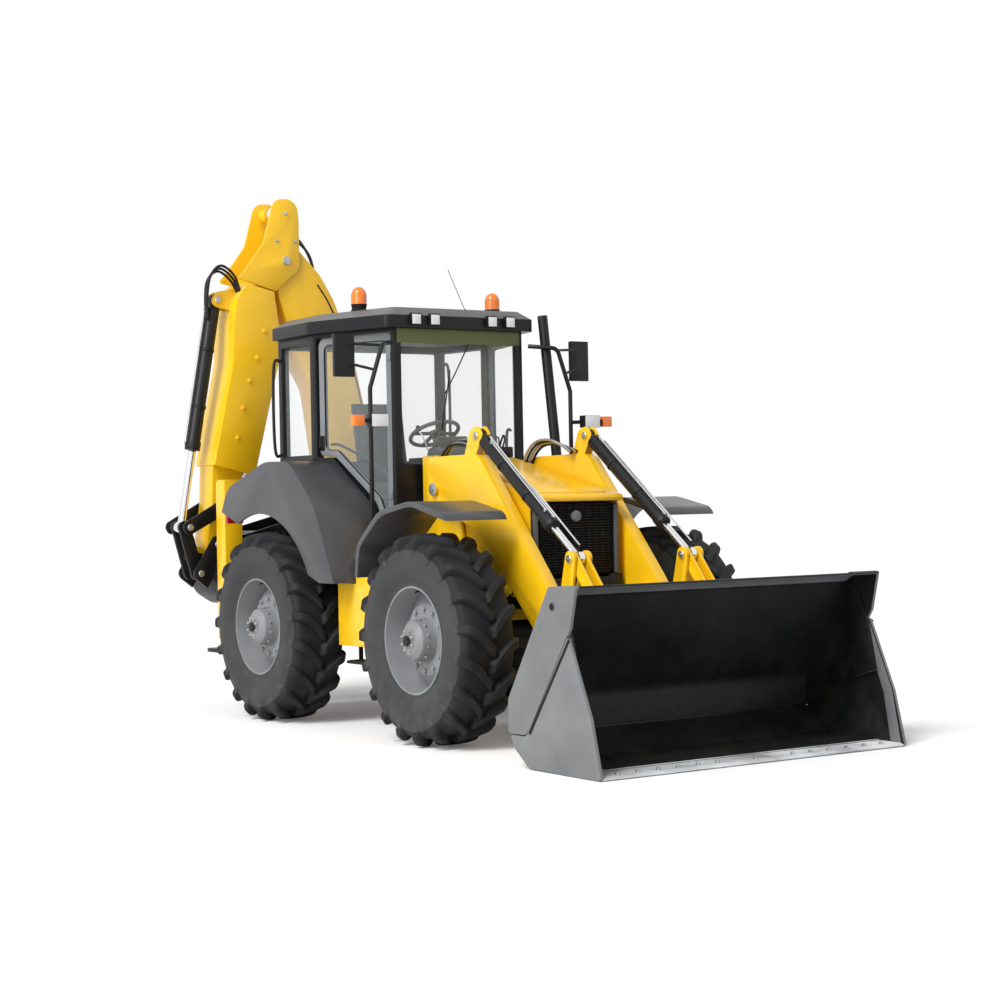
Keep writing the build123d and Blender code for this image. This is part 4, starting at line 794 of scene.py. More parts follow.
# Nuts and bolts: circle radius, distance from the wheel's middle plane, number, size, phase, outward lean
nutCircles = (("wheel_nuts", 0.205, 0.079, 12, 0.044, 0.0, False),
              ("hub_bolts", 0.066, 0.230, 8, 0.020, 0.5, False),
              ("planet_bolts", 0.146, 0.150, 12, 0.018, 0.5, True))
hubCapRows = [(0, 0.232), (0.036, 0.232), (0.034, 0.243), (0.022, 0.247), (0, 0.247)]
for corner, along in axles:
    for side, sign in sides.items():
        body = f"wheel_{corner}_{side}"
        centre = spot(along, sign * wheelY, wheelZ)
        for label, radius, out, count, size, phase, radial in nutCircles:
            places = []
            for i in range(count):
                a = 2 * math.pi * (i + phase) / count
                offset = Vector((radius * math.cos(a), sign * out, -radius * math.sin(a)))
                aim = (math.cos(a), 0.15 * sign, -math.sin(a)) if radial else (0, sign, 0)
                places.append((centre + offset, aim))
            bolts(f"{label}_{corner}_{side}", places, body, size, "boltZinc")
        turn = Matrix.Translation(centre) @ Matrix.Rotation(-sign * math.pi / 2, 4, "X")
        finishPiece(lathe(f"hub_cap_{corner}_{side}", hubCapRows, turn, 24), "blackPaint", body)
        stem = [centre + Vector((0.0, sign * y, z)) for y, z in ((0.075, 0.315), (0.12, 0.325), (0.16, 0.315))]
        valve = tube(f"valve_{corner}_{side}", stem, 0.006, 8)
        finishPiece(valve, "hoseRubber", body)


print("stage: hood and grille")

hoodLow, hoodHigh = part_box("hood")
hoodFront, hoodRear = hoodHigh[0] - axleX, hoodLow[0] - axleX
hoodHalf = hoodHigh[1]
hoodTopRear, hoodTopFront = hoodHigh[2], 1.640
hoodSlope = (hoodTopFront - hoodTopRear) / (hoodFront - hoodRear)


def hoodTop(x):
    return hoodTopRear + (x - hoodRear) * hoodSlope


def hoodPanel():
    rows = [(-0.30, 1.155), (0.30, 1.155), (0.285, 2.44), (-0.285, 2.44)]
    points = []
    for lift in (-0.004, 0.010):
        points += [spot(x, y, hoodTop(x) + lift) for y, x in rows]
    faces = [(0, 1, 2, 3), (7, 6, 5, 4)] + [(i, (i + 1) % 4, 4 + (i + 1) % 4, 4 + i) for i in range(4)]
    return rounded(meshPiece("hood_panel", points, faces), 0.006)


finishPiece(hoodPanel(), "yellowPaint", "base")
for side, sign in sides.items():
    backing = sideSlab(f"louvre_panel_{side}", sign, (1.20, 1.66), (hoodHalf, hoodHalf + 0.003), (1.50, 1.74),
                       0.001)
    finishPiece(backing, "sealRubber", "base")
    slat = turnedSlab(f"louvreMaster_{side}", (0, 0, 0), (0.42, 0.016, 0.007),
                      Matrix.Rotation(sign * math.radians(35), 3, "X"), 0.002)
    row(f"louvres_{side}", slat, 9, spot(1.43, sign * (hoodHalf + 0.006), 1.525), (0, 0, 0.0245),
        "yellowPaint", "base")
    latch = sideSlab(f"hood_latch_{side}", sign, (2.16, 2.20), (hoodHalf, hoodHalf + 0.014), (1.30, 1.42))
    finishPiece(latch, "blackPaint", "base")

grilleX = 2.452
slatTurn = Matrix.Rotation(math.radians(25), 3, "Y")
slat = turnedSlab("grilleSlatMaster", (0, 0, 0), (0.022, 0.64, 0.006), slatTurn, 0.0015)
row("grille_slats", slat, 24, spot(grilleX + 0.006, 0, 1.125), (0, 0, 0.0188), "blackPaint", "base")
upright = slab("grilleUprightMaster", (-0.002, -0.003, -0.225), (0.006, 0.003, 0.225), 0.001)
row("grille_uprights", upright, 11, spot(grilleX + 0.004, -0.28, 1.345), (0, 0.056, 0), "blackPaint", "base")
for side, sign in sides.items():
    strip = sideSlab(f"grille_edge_{side}", sign, (grilleX, grilleX + 0.034), (0.322, 0.352), (1.105, 1.580),
                     0.008)
    finishPiece(strip, "trimGrey", "base")
disc = lathe("grille_disc", [(0, 0.022), (0.030, 0.022), (0.037, 0.018), (0.040, 0.0), (0, 0.0)],
             facing(spot(grilleX + 0.012, 0, 1.500), (1, 0, 0)), 36)
finishPiece(disc, "doorGrey", "base")
lip = slab("hood_lip", spot(2.478, -0.362, 1.598), spot(2.500, 0.362, 1.612), 0.004)
finishPiece(lip, "blackPaint", "base")
cleaner = slab("hood_box", spot(1.135, 0.215, 1.925), spot(1.255, 0.335, 2.005), 0.012)
finishPiece(cleaner, "cabBlack", "base")
feed = tube("hood_box_hose", [spot(1.20, 0.275, 2.00), spot(1.22, 0.28, 2.055), spot(1.16, 0.31, 2.09),
                              spot(1.085, 0.33, 2.02), spot(1.075, 0.33, 1.93)], 0.007, 10)
finishPiece(feed, "hoseRubber", "base")


print("stage: cab trim")

cab = {"front": 1.060, "screenHalf": 0.500, "screenLow": 1.880, "screenHigh": 2.810, "seal": 0.006,
       "rear": -0.360, "rearHalf": 0.680, "rearLow": 1.930, "rearHigh": 2.800}
# The roof's front panel, its lamps and the sun band of the windscreen
visorBand = slab("sun_band", spot(1.0606, -0.535, 2.762), spot(1.0646, 0.535, 2.868), 0.0015)
finishPiece(visorBand, "bandGlass", "base")
for i, y in enumerate((0.41, 0.25, -0.25, -0.41)):
    housing = slab(f"work_lamp_{i}", spot(1.100, y - 0.040, 2.8855), spot(1.1335, y + 0.040, 2.975), 0.004)
    finishPiece(housing, "cabBlack", "base")
    bezel = slab(f"work_lamp_bezel_{i}", spot(1.1335, y - 0.043, 2.888), spot(1.1375, y + 0.043, 2.972), 0.0015)
    finishPiece(bezel, "sealRubber", "base")
    lens = slab(f"work_lamp_lens_{i}", spot(1.1376, y - 0.036, 2.895), spot(1.1400, y + 0.036, 2.965), 0.001)
    finishPiece(lens, "lampLens", "base")
for side, sign in sides.items():
    lens = sideSlab(f"headlamp_lens_{side}", sign, (1.4502, 1.4550), (0.852, 0.983), (2.142, 2.228), 0.002)
    finishPiece(lens, "lampLens", "base")
    face = sideSlab(f"mirror_face_{side}", sign, (1.1255, 1.1272), (0.944, 1.104), (2.508, 2.798), 0.0006)
    finishPiece(face, "mirrorFace", "base")


def gasket(name, corners, body, material="sealRubber", radius=0.006):
    # A loop of rubber round a pane, with its corners rounded
    path = []
    count = len(corners)
    for i in range(count):
        before, here, after = Vector(corners[i - 1]), Vector(corners[i]), Vector(corners[(i + 1) % count])
        cut = 0.030
        start = here + (before - here).normalized() * cut
        end = here + (after - here).normalized() * cut
        for k in range(5):
            t = k / 4
            path.append(start * (1 - t) ** 2 + here * 2 * t * (1 - t) + end * t ** 2)
    path.append(path[0].copy())
    return finishPiece(tube(name, path, radius, 8, False), material, body)


screenX = cab["front"] - 0.012
gasket("windscreen_seal", [spot(screenX, y, z) for y, z in (
    (-cab["screenHalf"], cab["screenLow"]), (cab["screenHalf"], cab["screenLow"]),
    (cab["screenHalf"], cab["screenHigh"]), (-cab["screenHalf"], cab["screenHigh"]))], "base")
gasket("rear_window_seal", [spot(cab["rear"] + 0.018, y, z) for y, z in (
    (-cab["rearHalf"], cab["rearLow"]), (cab["rearHalf"], cab["rearLow"]),
    (cab["rearHalf"], cab["rearHigh"]), (-cab["rearHalf"], cab["rearHigh"]))], "base")

doors = {"front": Vector((1.022, 0.571, 0)), "rear": Vector((0.352, 0.787, 0)), "gap": 0.008}
paneRows = ((0.979, 1.505), (0.979, 2.785), (0.397, 2.785), (0.397, 2.003), (0.512, 2.003), (0.902, 1.650),
            (0.956, 1.505))


def onDoor(x, z, sign, out=0.0):
    # A place on the door's outer face: x along the machine, and out from the face
    line = doors["rear"] - doors["front"]
    t = (x - doors["front"].x) / line.x
    outward = Vector((-line.y, line.x, 0)).normalized()
    outward = outward if outward.y > 0 else -outward
    p = doors["front"] + line * t + outward * (out - doors["gap"])
    return spot(p.x, sign * p.y, z)


# Opening side window behind each door: its corners, and the handrail with its distance from the face
quarter = {"corners": ((-0.30, 1.970), (0.240, 1.970), (0.240, 2.800), (-0.30, 2.800)),
           "rail": ((-0.325, 1.99, -0.010), (-0.330, 2.04, 0.055), (-0.330, 2.66, 0.055), (-0.325, 2.71, -0.010)),
           "rear": (-0.360, 0.74), "slope": (0.80 - 0.74) / (0.300 + 0.360)}


def onQuarter(x, z, sign, out=0.0):
    rearX, rearY = quarter["rear"]
    return spot(x, sign * (rearY + (x - rearX) * quarter["slope"] + out), z)


for side, sign in sides.items():
    body = f"door_{side}"
    gasket(f"door_seal_{side}", [onDoor(x, z, sign, -0.010) for x, z in paneRows], body)
    aim = onDoor(0.5, 2, sign, 1) - onDoor(0.5, 2, sign, 0)
    lockRows = [(-0.022, -0.055), (0.022, -0.055), (0.022, 0.055), (-0.022, 0.055)]
    plate = extruded(f"door_lock_{side}", lockRows, facing(onDoor(0.3745, 2.06, sign, 0.0002), aim), 0.008, 0.003)
    finishPiece(plate, "blackPaint", body)
    pull = tube(f"door_pull_{side}", [onDoor(0.3745, 2.015, sign, 0.006), onDoor(0.3745, 2.025, sign, 0.026),
                                      onDoor(0.3745, 2.095, sign, 0.026), onDoor(0.3745, 2.105, sign, 0.006)],
                0.0065, 10)
    finishPiece(pull, "blackPaint", body)
    rail = tube(f"door_rail_{side}", [onDoor(0.955, 1.62, sign, -0.050), onDoor(0.945, 1.66, sign, -0.085),
                                      onDoor(0.945, 2.10, sign, -0.085), onDoor(0.955, 2.14, sign, -0.050)],
                0.011, 12)
    finishPiece(rail, "blackPaint", body)
    inner = tube(f"door_bar_{side}", [onDoor(0.96, 1.70, sign, -0.040), onDoor(0.90, 1.84, sign, -0.060),
                                      onDoor(0.52, 2.03, sign, -0.060), onDoor(0.42, 2.05, sign, -0.040)],
                 0.010, 12)
    finishPiece(inner, "blackPaint", body)
    gasket(f"quarter_seal_{side}", [onQuarter(x, z, sign, -0.018) for x, z in quarter["corners"]], "base")
    rail = tube(f"rear_handrail_{side}", [onQuarter(x, z, sign, out) for x, z, out in quarter["rail"]], 0.012, 12)
    finishPiece(rail, "blackPaint", "base")

# Roof: beacons with a ribbed amber dome on a dark foot, aerial, and lining
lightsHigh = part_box("roof_lights")[1]
beacon = {"x": 0.630, "y": 0.590, "foot": 2.990, "ring": 3.070, "radius": 0.058, "top": lightsHigh[2] + 0.060}
beaconFoot = [(0, 0.0), (0.060, 0.0), (0.060, 0.040), (0.052, 0.048), (0.060, 0.082), (0, 0.082)]


def domeRows():
    radius, ring = beacon["radius"], beacon["ring"]
    crown = 1.2 * radius
    straight = beacon["top"] - crown - ring
    rows = [(0, ring)]
    for k in range(5):
        rows.append((radius - 0.0015 * (k % 2), ring + straight * k / 4))
    for k in range(1, 9):
        a = math.pi / 2 * k / 8
        rows.append((radius * math.cos(a) if k < 8 else 0, ring + straight + crown * math.sin(a)))
    return rows


for side, sign in sides.items():
    foot = lathe(f"beacon_foot_{side}", beaconFoot,
                 facing(spot(beacon["x"], sign * beacon["y"], beacon["foot"]), (0, 0, 1)), 32)
    finishPiece(foot, "sealRubber", "base", replaced=("roof_lights",) if sign > 0 else ())
    place = Matrix.Translation(spot(beacon["x"], sign * beacon["y"], 0))
    finishPiece(lathe(f"beacon_dome_{side}", domeRows(), place, 36), "amberLens", "base")
aerialFoot = lathe("aerial_foot", [(0, 0), (0.022, 0), (0.018, 0.020), (0.006, 0.034), (0, 0.034)],
                   facing(spot(0.90, 0.164, 3.005), (0, 0, 1)), 20)
finishPiece(aerialFoot, "sealRubber", "base")
aerial = tube("aerial", [spot(0.90, 0.164, 3.03), spot(0.90, 0.10, 3.16), spot(0.90, 0.019, 3.326)], 0.0028, 8)
finishPiece(aerial, "trimGrey", "base")


def cabPolygon(inset, front, rear):
    # Plan inside the cab's posts, widest behind the doors
    half = [(front, 0.560 + (1.060 - front) * 0.3158 - inset), (0.300, 0.800 - inset),
            (rear, 0.740 + (rear + 0.360) * 0.0909 - inset)]
    return half + [(x, -y) for x, y in reversed(half)]


for name, inset, front, rear, low, thick, material in (
        ("headliner", 0.068, 0.990, -0.292, 2.846, 0.020, "trimGrey"),
        ("floor_mat", 0.070, 0.780, -0.290, 1.4905, 0.006, "sealRubber")):
    place = Matrix.Translation((axleX, 0, low))
    finishPiece(extruded(name, cabPolygon(inset, front, rear), place, thick, 0.002), material, "base")
matRib = slab("matRibMaster", (-0.004, -0.42, 0.0), (0.004, 0.42, 0.003), 0.001)
row("mat_ribs", matRib, 24, spot(-0.24, 0, 1.4964), (0.042, 0, 0), "sealRubber", "base")
blindTurn = Matrix.Rotation(math.radians(12), 3, "Y")
blind = turnedSlab("sun_blind", spot(0.93, 0.0, 2.815), (0.14, 0.86, 0.010), blindTurn, 0.004)
finishPiece(blind, "trimGrey", "base")
lamp = slab("roof_lamp", spot(0.34, -0.05, 2.832), spot(0.46, 0.05, 2.846), 0.004)
finishPiece(lamp, "lampLens", "base")

# Wiper on the windscreen
wiper = {"pivot": spot(1.040, 0.10, 2.775), "tip": spot(1.043, -0.13, 2.38)}
wiperMiddle = (wiper["pivot"] + wiper["tip"]) / 2 + Vector((0.008, 0, 0))
arm = tube("wiper_arm", [wiper["pivot"], wiperMiddle, wiper["tip"]], 0.005, 8)
finishPiece(arm, "blackPaint", "base")
bladeEnds = [wiper["tip"] + Vector(offset) for offset in ((-0.003, 0.06, 0.19), (-0.003, -0.02, -0.24))]
blade = tube("wiper_blade", bladeEnds, 0.005, 6, False)
finishPiece(blade, "sealRubber", "base")

# Levers, dials and pedals at the dash
levers = (("loader_lever", (0.845, -0.150, 1.990), (0.760, -0.170, 2.140)),
          ("gear_lever", (0.865, 0.060, 1.950), (0.740, 0.190, 2.050)),
          ("hand_throttle", (0.905, -0.090, 2.005), (0.880, -0.100, 2.085)))
knobRows = [(0, -0.006), (0.010, -0.006), (0.017, 0.008), (0.019, 0.026), (0.012, 0.040), (0, 0.043)]
for name, start, end in levers:
    middle = (spot(*start) + spot(*end)) / 2 + Vector((0.012, 0, 0))
    stalk = tube(name, [spot(*start), middle, spot(*end)], 0.006, 10)
    knob = lathe(name + "_knob", knobRows, facing(spot(*end), spot(*end) - spot(*start)), 20)
    finishPiece(stalk, "steelBright", "base")
    finishPiece(knob, "sealRubber", "base")
binnacle = extruded("dash_hood", [(-0.15, -0.045), (0.15, -0.045), (0.13, 0.050), (-0.13, 0.050)],
                    facing(spot(0.925, 0, 2.045), (-1, 0, 0.55)), 0.012, 0.006)
finishPiece(binnacle, "trimGrey", "base")
for i, y in enumerate((-0.082, 0.0, 0.082)):
    dialRows = [(0, 0), (0.030, 0), (0.030, 0.004), (0.026, 0.005), (0.025, 0.003), (0, 0.003)]
    dial = lathe(f"dash_dial_{i}", dialRows,
                 facing(spot(0.925, y, 2.045) + Vector((-0.0105, 0, 0.0058)), (-1, 0, 0.55)), 28)
    finishPiece(dial, "lampLens", "base")
for i, y in enumerate((-0.30, -0.22, 0.24)):
    pedal = turnedSlab(f"pedal_{i}", spot(0.93, y, 1.235), (0.012, 0.070, 0.110),
                       Matrix.Rotation(math.radians(-35), 3, "Y"), 0.004)
    stem = tube(f"pedal_stem_{i}", [spot(0.935, y, 1.235), spot(0.995, y, 1.300), spot(1.015, y, 1.400)], 0.007, 8)
    finishPiece(pedal, "sealRubber", "base")
    finishPiece(stem, "blackPaint", "base")

print("stage: seat")

# Cushions are blown up from slightly smaller blocks, then sewn: channels, fill, and how far a point may move
seat = {"base": ((-0.045, -0.215, 1.662), (0.405, 0.215, 1.752)),
        "back": ((-0.048, -0.205, -0.32), (0.040, 0.205, 0.30)),
        "backAt": (-0.055, 0, 2.085), "lean": 9.3, "voxel": 0.012, "cap": 0.013, "pressure": 4.0, "frames": 20,
        "channelDepth": 0.007, "channelWidth": 0.011, "fill": 0.7}


def capped(piece, rest):
    for vertex, start in zip(piece.data.vertices, rest):
        shift = vertex.co - start
        if shift.length > seat["cap"]:
            vertex.co = start + shift.normalized() * seat["cap"]


def blownUp(piece):
    remesh = piece.modifiers.new("remesh", "REMESH")
    remesh.mode = "VOXEL"
    remesh.voxel_size = seat["voxel"]
    bakeModifiers(piece)
    rest = [v.co.copy() for v in piece.data.vertices]
    cloth = piece.modifiers.new("cloth", "CLOTH")
    cloth.settings.use_pressure = True
    cloth.settings.uniform_pressure_force = seat["pressure"]
    cloth.settings.effector_weights.gravity = 0
    for frameNumber in range(1, seat["frames"] + 1):
        bpy.context.scene.frame_set(frameNumber)
    bakeModifiers(piece)
    bpy.context.scene.frame_set(1)
    capped(piece, rest)
    return piece


def bakeModifiers(piece):
    bpy.context.view_layer.update()
    graph = bpy.context.evaluated_depsgraph_get()
    mesh = bpy.data.meshes.new_from_object(piece.evaluated_get(graph))
    piece.modifiers.clear()
    piece.data = mesh


def sewn(piece, lines, axis):
    # Pulls the skin in along straight seams, given by their place on one axis
    smooth = piece.modifiers.new("round", "SUBSURF")
    smooth.levels = 1
    smooth.render_levels = 1
    bakeModifiers(piece)
    middle = sum((v.co for v in piece.data.vertices), Vector()) / len(piece.data.vertices)
    for vertex in piece.data.vertices:
        for line in lines:
            near = abs(vertex.co[axis] - line) / seat["channelWidth"]
            if near < 1:
                pull = seat["channelDepth"] * (1 + math.cos(math.pi * near)) / 2
                vertex.co += (middle - vertex.co).normalized() * pull


def cushion(name, block, place, lines, axis, replaced=()):
    piece = slab(name, Vector(block[0]), Vector(block[1]), 0.028)
    blownUp(piece)
    sewn(piece, lines, axis)
    piece.data.transform(place)
    piece.data.materials.clear()
    finishPiece(piece, "seatCloth", "base", 60.0, replaced)
    return piece


leanBack = Matrix.Translation(spot(*seat["backAt"])) @ Matrix.Rotation(math.radians(-seat["lean"]), 4, "Y")
cushion("seat_cushion", seat["base"], Matrix.Translation((axleX, 0, 0)), (-0.085, 0.085), 1, ("seat",))
cushion("seat_back", seat["back"], leanBack, (-0.075, 0.075), 1)
finishPiece(slab("seat_pan", spot(-0.052, -0.222, 1.640), spot(0.412, 0.222, 1.664), 0.008), "trimGrey", "base")
shell = slab("seat_shell", (-0.072, -0.215, -0.33), (-0.052, 0.215, 0.31), 0.008)
shell.data.transform(leanBack)
finishPiece(shell, "trimGrey", "base")
bellows = [(0.0, 1.49), (0.150, 1.49)]
for k in range(5):
    bellows += [(0.158, 1.505 + k * 0.027), (0.138, 1.518 + k * 0.027)]
bellows += [(0.150, 1.640), (0.0, 1.640)]
boot = lathe("seat_boot", bellows, Matrix.Translation(spot(0.18, 0, 0)), 28)
finishPiece(boot, "sealRubber", "base")
for side, sign in sides.items():
    rest = turnedSlab(f"armrest_{side}", spot(0.10, sign * 0.232, 1.935), (0.26, 0.040, 0.035),
                      Matrix.Identity(3), 0.012)
    finishPiece(rest, "sealRubber", "base")
    arm = tube(f"armrest_arm_{side}", [spot(-0.075, sign * 0.232, 1.83), spot(-0.05, sign * 0.232, 1.90),
                                       spot(0.02, sign * 0.232, 1.925)], 0.009, 10)
    finishPiece(arm, "blackPaint", "base")

print("stage: loader pins, pipes and hoses")


def pinCap(name, place, radius, nippleTop, body):
    # Cap of a pin, with its grease nipple
    rows = [(0, 0.0002), (radius, 0.0002), (radius, 0.004), (radius * 0.86, 0.007), (radius * 0.30, 0.007),
            (radius * 0.26, nippleTop), (0, nippleTop + 0.001)]
    return finishPiece(lathe(name, rows, place, 28), "steelBright", body)


# Pins of the loader: place in side view, distances of the pin's ends from the middle plane, radius, body
pinHeads = (("arm_pivot", (1.500, 1.700), (0.529,), 0.046, "base"),
            ("lift_eye", (2.320, 1.030), (0.513,), 0.032, "loader_arms"),
            ("tilt_base", (2.015, 2.060), (0.501, 0.419), 0.026, "loader_arms"),
            ("lever_pivot", (3.000, 0.660), (0.539, 0.381), 0.026, "loader_arms"),
            ("tilt_eye", (3.120, 1.235), (0.539, 0.381), 0.026, "tilt_levers"),
            ("bucket_pivot", (3.290, 0.300), (0.539, 0.381), 0.026, "bucket_back"),
            ("link_eye", (3.500, 0.780), (0.510, 0.410), 0.024, "tilt_links"))
for label, (x, z), ends, radius, body in pinHeads:
    for side, sign in sides.items():
        for k, y in enumerate(ends):
            out = sign if y == max(ends) else -sign
            pinCap(f"{label}_cap_{side}_{k}", facing(spot(x, sign * y, z), (0, out, 0)), radius, 0.014, body)

# Directions of the tilt and lift cylinders, and square to them
tiltRun = Vector((3.120 - 2.015, 0, 1.235 - 2.060)).normalized()
tiltOut = Vector((-tiltRun.z, 0, tiltRun.x))
liftRun = Vector((2.320 - 1.330, 0, 1.030 - 0.930)).normalized()
liftOut = Vector((-liftRun.z, 0, liftRun.x))


def pipeRows(start, end, lift):
    # A pipe's distances along a barrel and above it, bent in at both ports
    return [(start, -0.004), (start + 0.012, lift), (start + 0.05, lift), (end - 0.05, lift), (end - 0.012, lift),
            (end, -0.004)]


def bandRows(radius, thick, half):
    # Section of a clamp band round a barrel
    inner = radius - 0.001
    return [(inner, -half), (radius + thick, -half), (radius + thick, half), (inner, half), (inner, -half)]


def ramPipes(name, start, run, out, y, radius, spans, body, clamps=(0.35, 0.70)):
    # Steel pipe along a barrel, bent in to its ports, with clamps at parts of its length
    for k, (a, b, lift) in enumerate(spans):
        line = [start + run * t + out * (radius + up) for t, up in pipeRows(a, b, lift)]
        points = [spot(p.x, y + k * 0.022 * (1 if y > 0 else -1), p.z) for p in line]
        finishPiece(tube(f"{name}_pipe_{k}", points, 0.0065, 10, True, 3), "steelBright", body)
    for k, at in enumerate(clamps):
        middle = start + run * (spans[0][1] * at)
        place = facing(spot(middle.x, y, middle.z), run)
        finishPiece(lathe(f"{name}_clamp_{k}", bandRows(radius, 0.004, 0.012), place, 32), "blackPaint", body)


# Cylinders of both arms: distance from the middle plane, base pins in side view, and the level rod's places
ramY = 0.460
tiltStart, liftStart = Vector((2.015, 0, 2.060)), Vector((1.330, 0, 0.930))
levelRod = {"out": 0.078, "ends": (0.70, 1.34), "foot": ((1.335, 0.0), (1.345, -0.045))}
hoseCount, hosePitch, hoseRise = 4, 0.022, 0.010


def besideRam(place, y):
    return spot(place.x, 0, place.z) + Vector((0, y, 0))


for side, sign in sides.items():
    y = sign * ramY
    ramPipes(f"tilt_{side}", tiltStart, tiltRun, tiltOut, y, 0.046, ((0.12, 1.0, 0.014), (0.16, 0.93, 0.014)),
             "tilt_barrels")
    ramPipes(f"lift_{side}", liftStart, liftRun, liftOut, y, 0.050, ((0.12, 0.87, 0.014),), "lift_barrels",
             (0.35,))
    guide = tiltStart + tiltOut * levelRod["out"]
    ends = [besideRam(guide + tiltRun * t, y) for t in levelRod["ends"]]
    finishPiece(tube(f"level_rod_{side}", ends, 0.006, 10, False), "steelBright", "tilt_rods")
    ends = [besideRam(guide + tiltRun * t + tiltOut * out, y) for t, out in levelRod["foot"]]
    finishPiece(tube(f"level_rod_foot_{side}", ends, 0.008, 10, False), "blackPaint", "tilt_rods")
    # Hoses from the tower over the arm's pivot to the cylinders
    for k in range(hoseCount):
        across = sign * (0.405 - hosePitch * k)
        over = hoseRise * k
        route = ((1.345, 0, 1.790), (1.400, 0, 1.900 + over), (1.520, 0, 1.995 + over), (1.680, 0.01, 2.010 + over),
                 (1.840, 0.02, 1.975 + over * 0.5), (1.930, 0.012, 1.950))
        hose = tube(f"arm_hose_{side}_{k}", [spot(x, across + sign * out, z) for x, out, z in route], 0.0095, 12)
        finishPiece(hose, "steelBright" if k % 2 else "hoseRubber", None)
        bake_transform(hose)

print("stage: bucket fittings")

bucket = {"half": 1.195, "edgeZ": 0.025, "edgeX": (4.262, 4.170), "pitch": 0.150}
edgeBolts = []
for i in range(-7, 8):
    y = i * bucket["pitch"]
    if abs(abs(y) - 0.150) > 0.01:
        edgeBolts.append((spot(bucket["edgeX"][0], y, bucket["edgeZ"]), (0, 0, 1)))
bolts("edge_bolts", edgeBolts, "bucket_clam", 0.034, "steelBright")
# Welded wear strips up the front edge of both cheeks, inside. The seal rows outline a thin black film of painted
# shade along the outer parting line.
cheek = {"inner": 1.1955, "outer": 1.2152, "pinEnd": 1.2191, "film": 0.0005, "pin": (3.875, 0.987), "thick": 0.004,
         "rows": ((4.296, 0.020), (4.225, 0.355), (4.030, 0.786), (3.975, 0.770), (4.150, 0.340), (4.205, 0.030)),
         "lap": ((3.430, 0.170), (3.640, 0.190), (4.040, 0.780), (3.990, 0.812), (3.600, 0.245), (3.430, 0.230)),
         "seal": ((3.612, 0.222), (3.630, 0.210), (4.048, 0.792), (4.030, 0.805))}
for side, sign in sides.items():
    place = Matrix(((1, 0, 0, axleX), (0, 0, -sign, sign * cheek["inner"]), (0, 1, 0, 0), (0, 0, 0, 1)))
    strip = extruded(f"cheek_strip_{side}", cheek["rows"], place, cheek["thick"], 0.001)
    finishPiece(strip, "bucketGrey", "bucket_clam")
    lap = extruded(f"cheek_lap_{side}", cheek["lap"], place, cheek["thick"] / 2, 0)
    finishPiece(lap, "bucketInside", "bucket_clam")
    # Painted shade: a black film flush with the outer face along the parting line between back and clam, widening
    # the dark line of the gap
    outside = Matrix(((1, 0, 0, axleX), (0, 0, sign, sign * cheek["outer"]), (0, 1, 0, 0), (0, 0, 0, 1)))
    seal = extruded(f"parting_seal_{side}", cheek["seal"], outside, cheek["film"], 0)
    finishPiece(seal, "sealRubber", "bucket_clam")
    # Painted shade: a thin black disc on the pin's end stands in for the dark of the hole there
    holeShade = lathe(f"clam_pin_{side}", [(0, 0), (0.022, 0), (0.022, cheek["film"]), (0, cheek["film"])],
                 facing(spot(cheek["pin"][0], sign * cheek["pinEnd"], cheek["pin"][1]), (0, sign, 0)), 28)
    finishPiece(holeShade, "sealRubber", "bucket_clam")
floorLap = slab("floor_lap", spot(3.404, -cheek["inner"], 0.180), spot(3.430, cheek["inner"], 0.2035), 0.001)
finishPiece(floorLap, "bucketInside", "bucket_clam")
seam = slab("floor_seam", spot(4.086, -bucket["half"], 0.0262), spot(4.098, bucket["half"], 0.0315), 0.002)
finishPiece(seam, "cuttingEdge", "bucket_clam")

print("stage: digging arm")

# Pins of the digging arm: place seen from the rear, reach of the pin's ends either side, radius, body
hoePins = (("boom_pivot", (0.340, 0.950), 0.193, 0.036, "swing_post"),
           ("boom_base", (0.700, 1.300), 0.081, 0.026, "swing_post"),
           ("dipper_pivot", (-0.220, 3.600), 0.188, 0.036, "dipper"),
           ("crowd_base", (-0.790, 3.270), 0.074, 0.026, "dipper_extension"),
           ("rocker_pivot", (-0.800, 1.610), 0.180, 0.026, "dipper_extension"),
           ("crowd_eye", (-1.120, 1.440), 0.180, 0.026, "rockers"),
           ("hoe_bucket_pivot", (-0.870, 1.300), 0.156, 0.026, "hoe_bucket"),
           ("hoe_link_eye", (-1.020, 1.070), 0.156, 0.026, "hoe_bucket"))
for label, (y, z), reach, radius, body in hoePins:
    for k, way in enumerate((1, -1)):
        pinCap(f"{label}_cap_{k}", facing(onHoe(y, z, way * reach), (way, 0, 0)), radius, 0.013, body)
# Bolts of the slide's wear pads, on both faces of the outer tube
padBolts = []
for way in (1, -1):
    for y, z in ((-0.574, 2.612), (-0.638, 2.393), (-0.691, 2.151), (-0.430, 3.020), (-0.500, 2.800)):
        padBolts.append((onHoe(y, z, way * 0.1801), (way, 0, 0)))
bolts("slide_pad_bolts", padBolts, "dipper_extension", 0.042, "yellowPaint")
headBolts = [(onHoe(y, z, way * 0.1801), (way, 0, 0)) for way in (1, -1)
             for y, z in ((-0.215, 3.985), (-0.300, 3.760), (-0.130, 3.760))]
bolts("head_bolts", headBolts, "dipper", 0.030, "boltZinc")

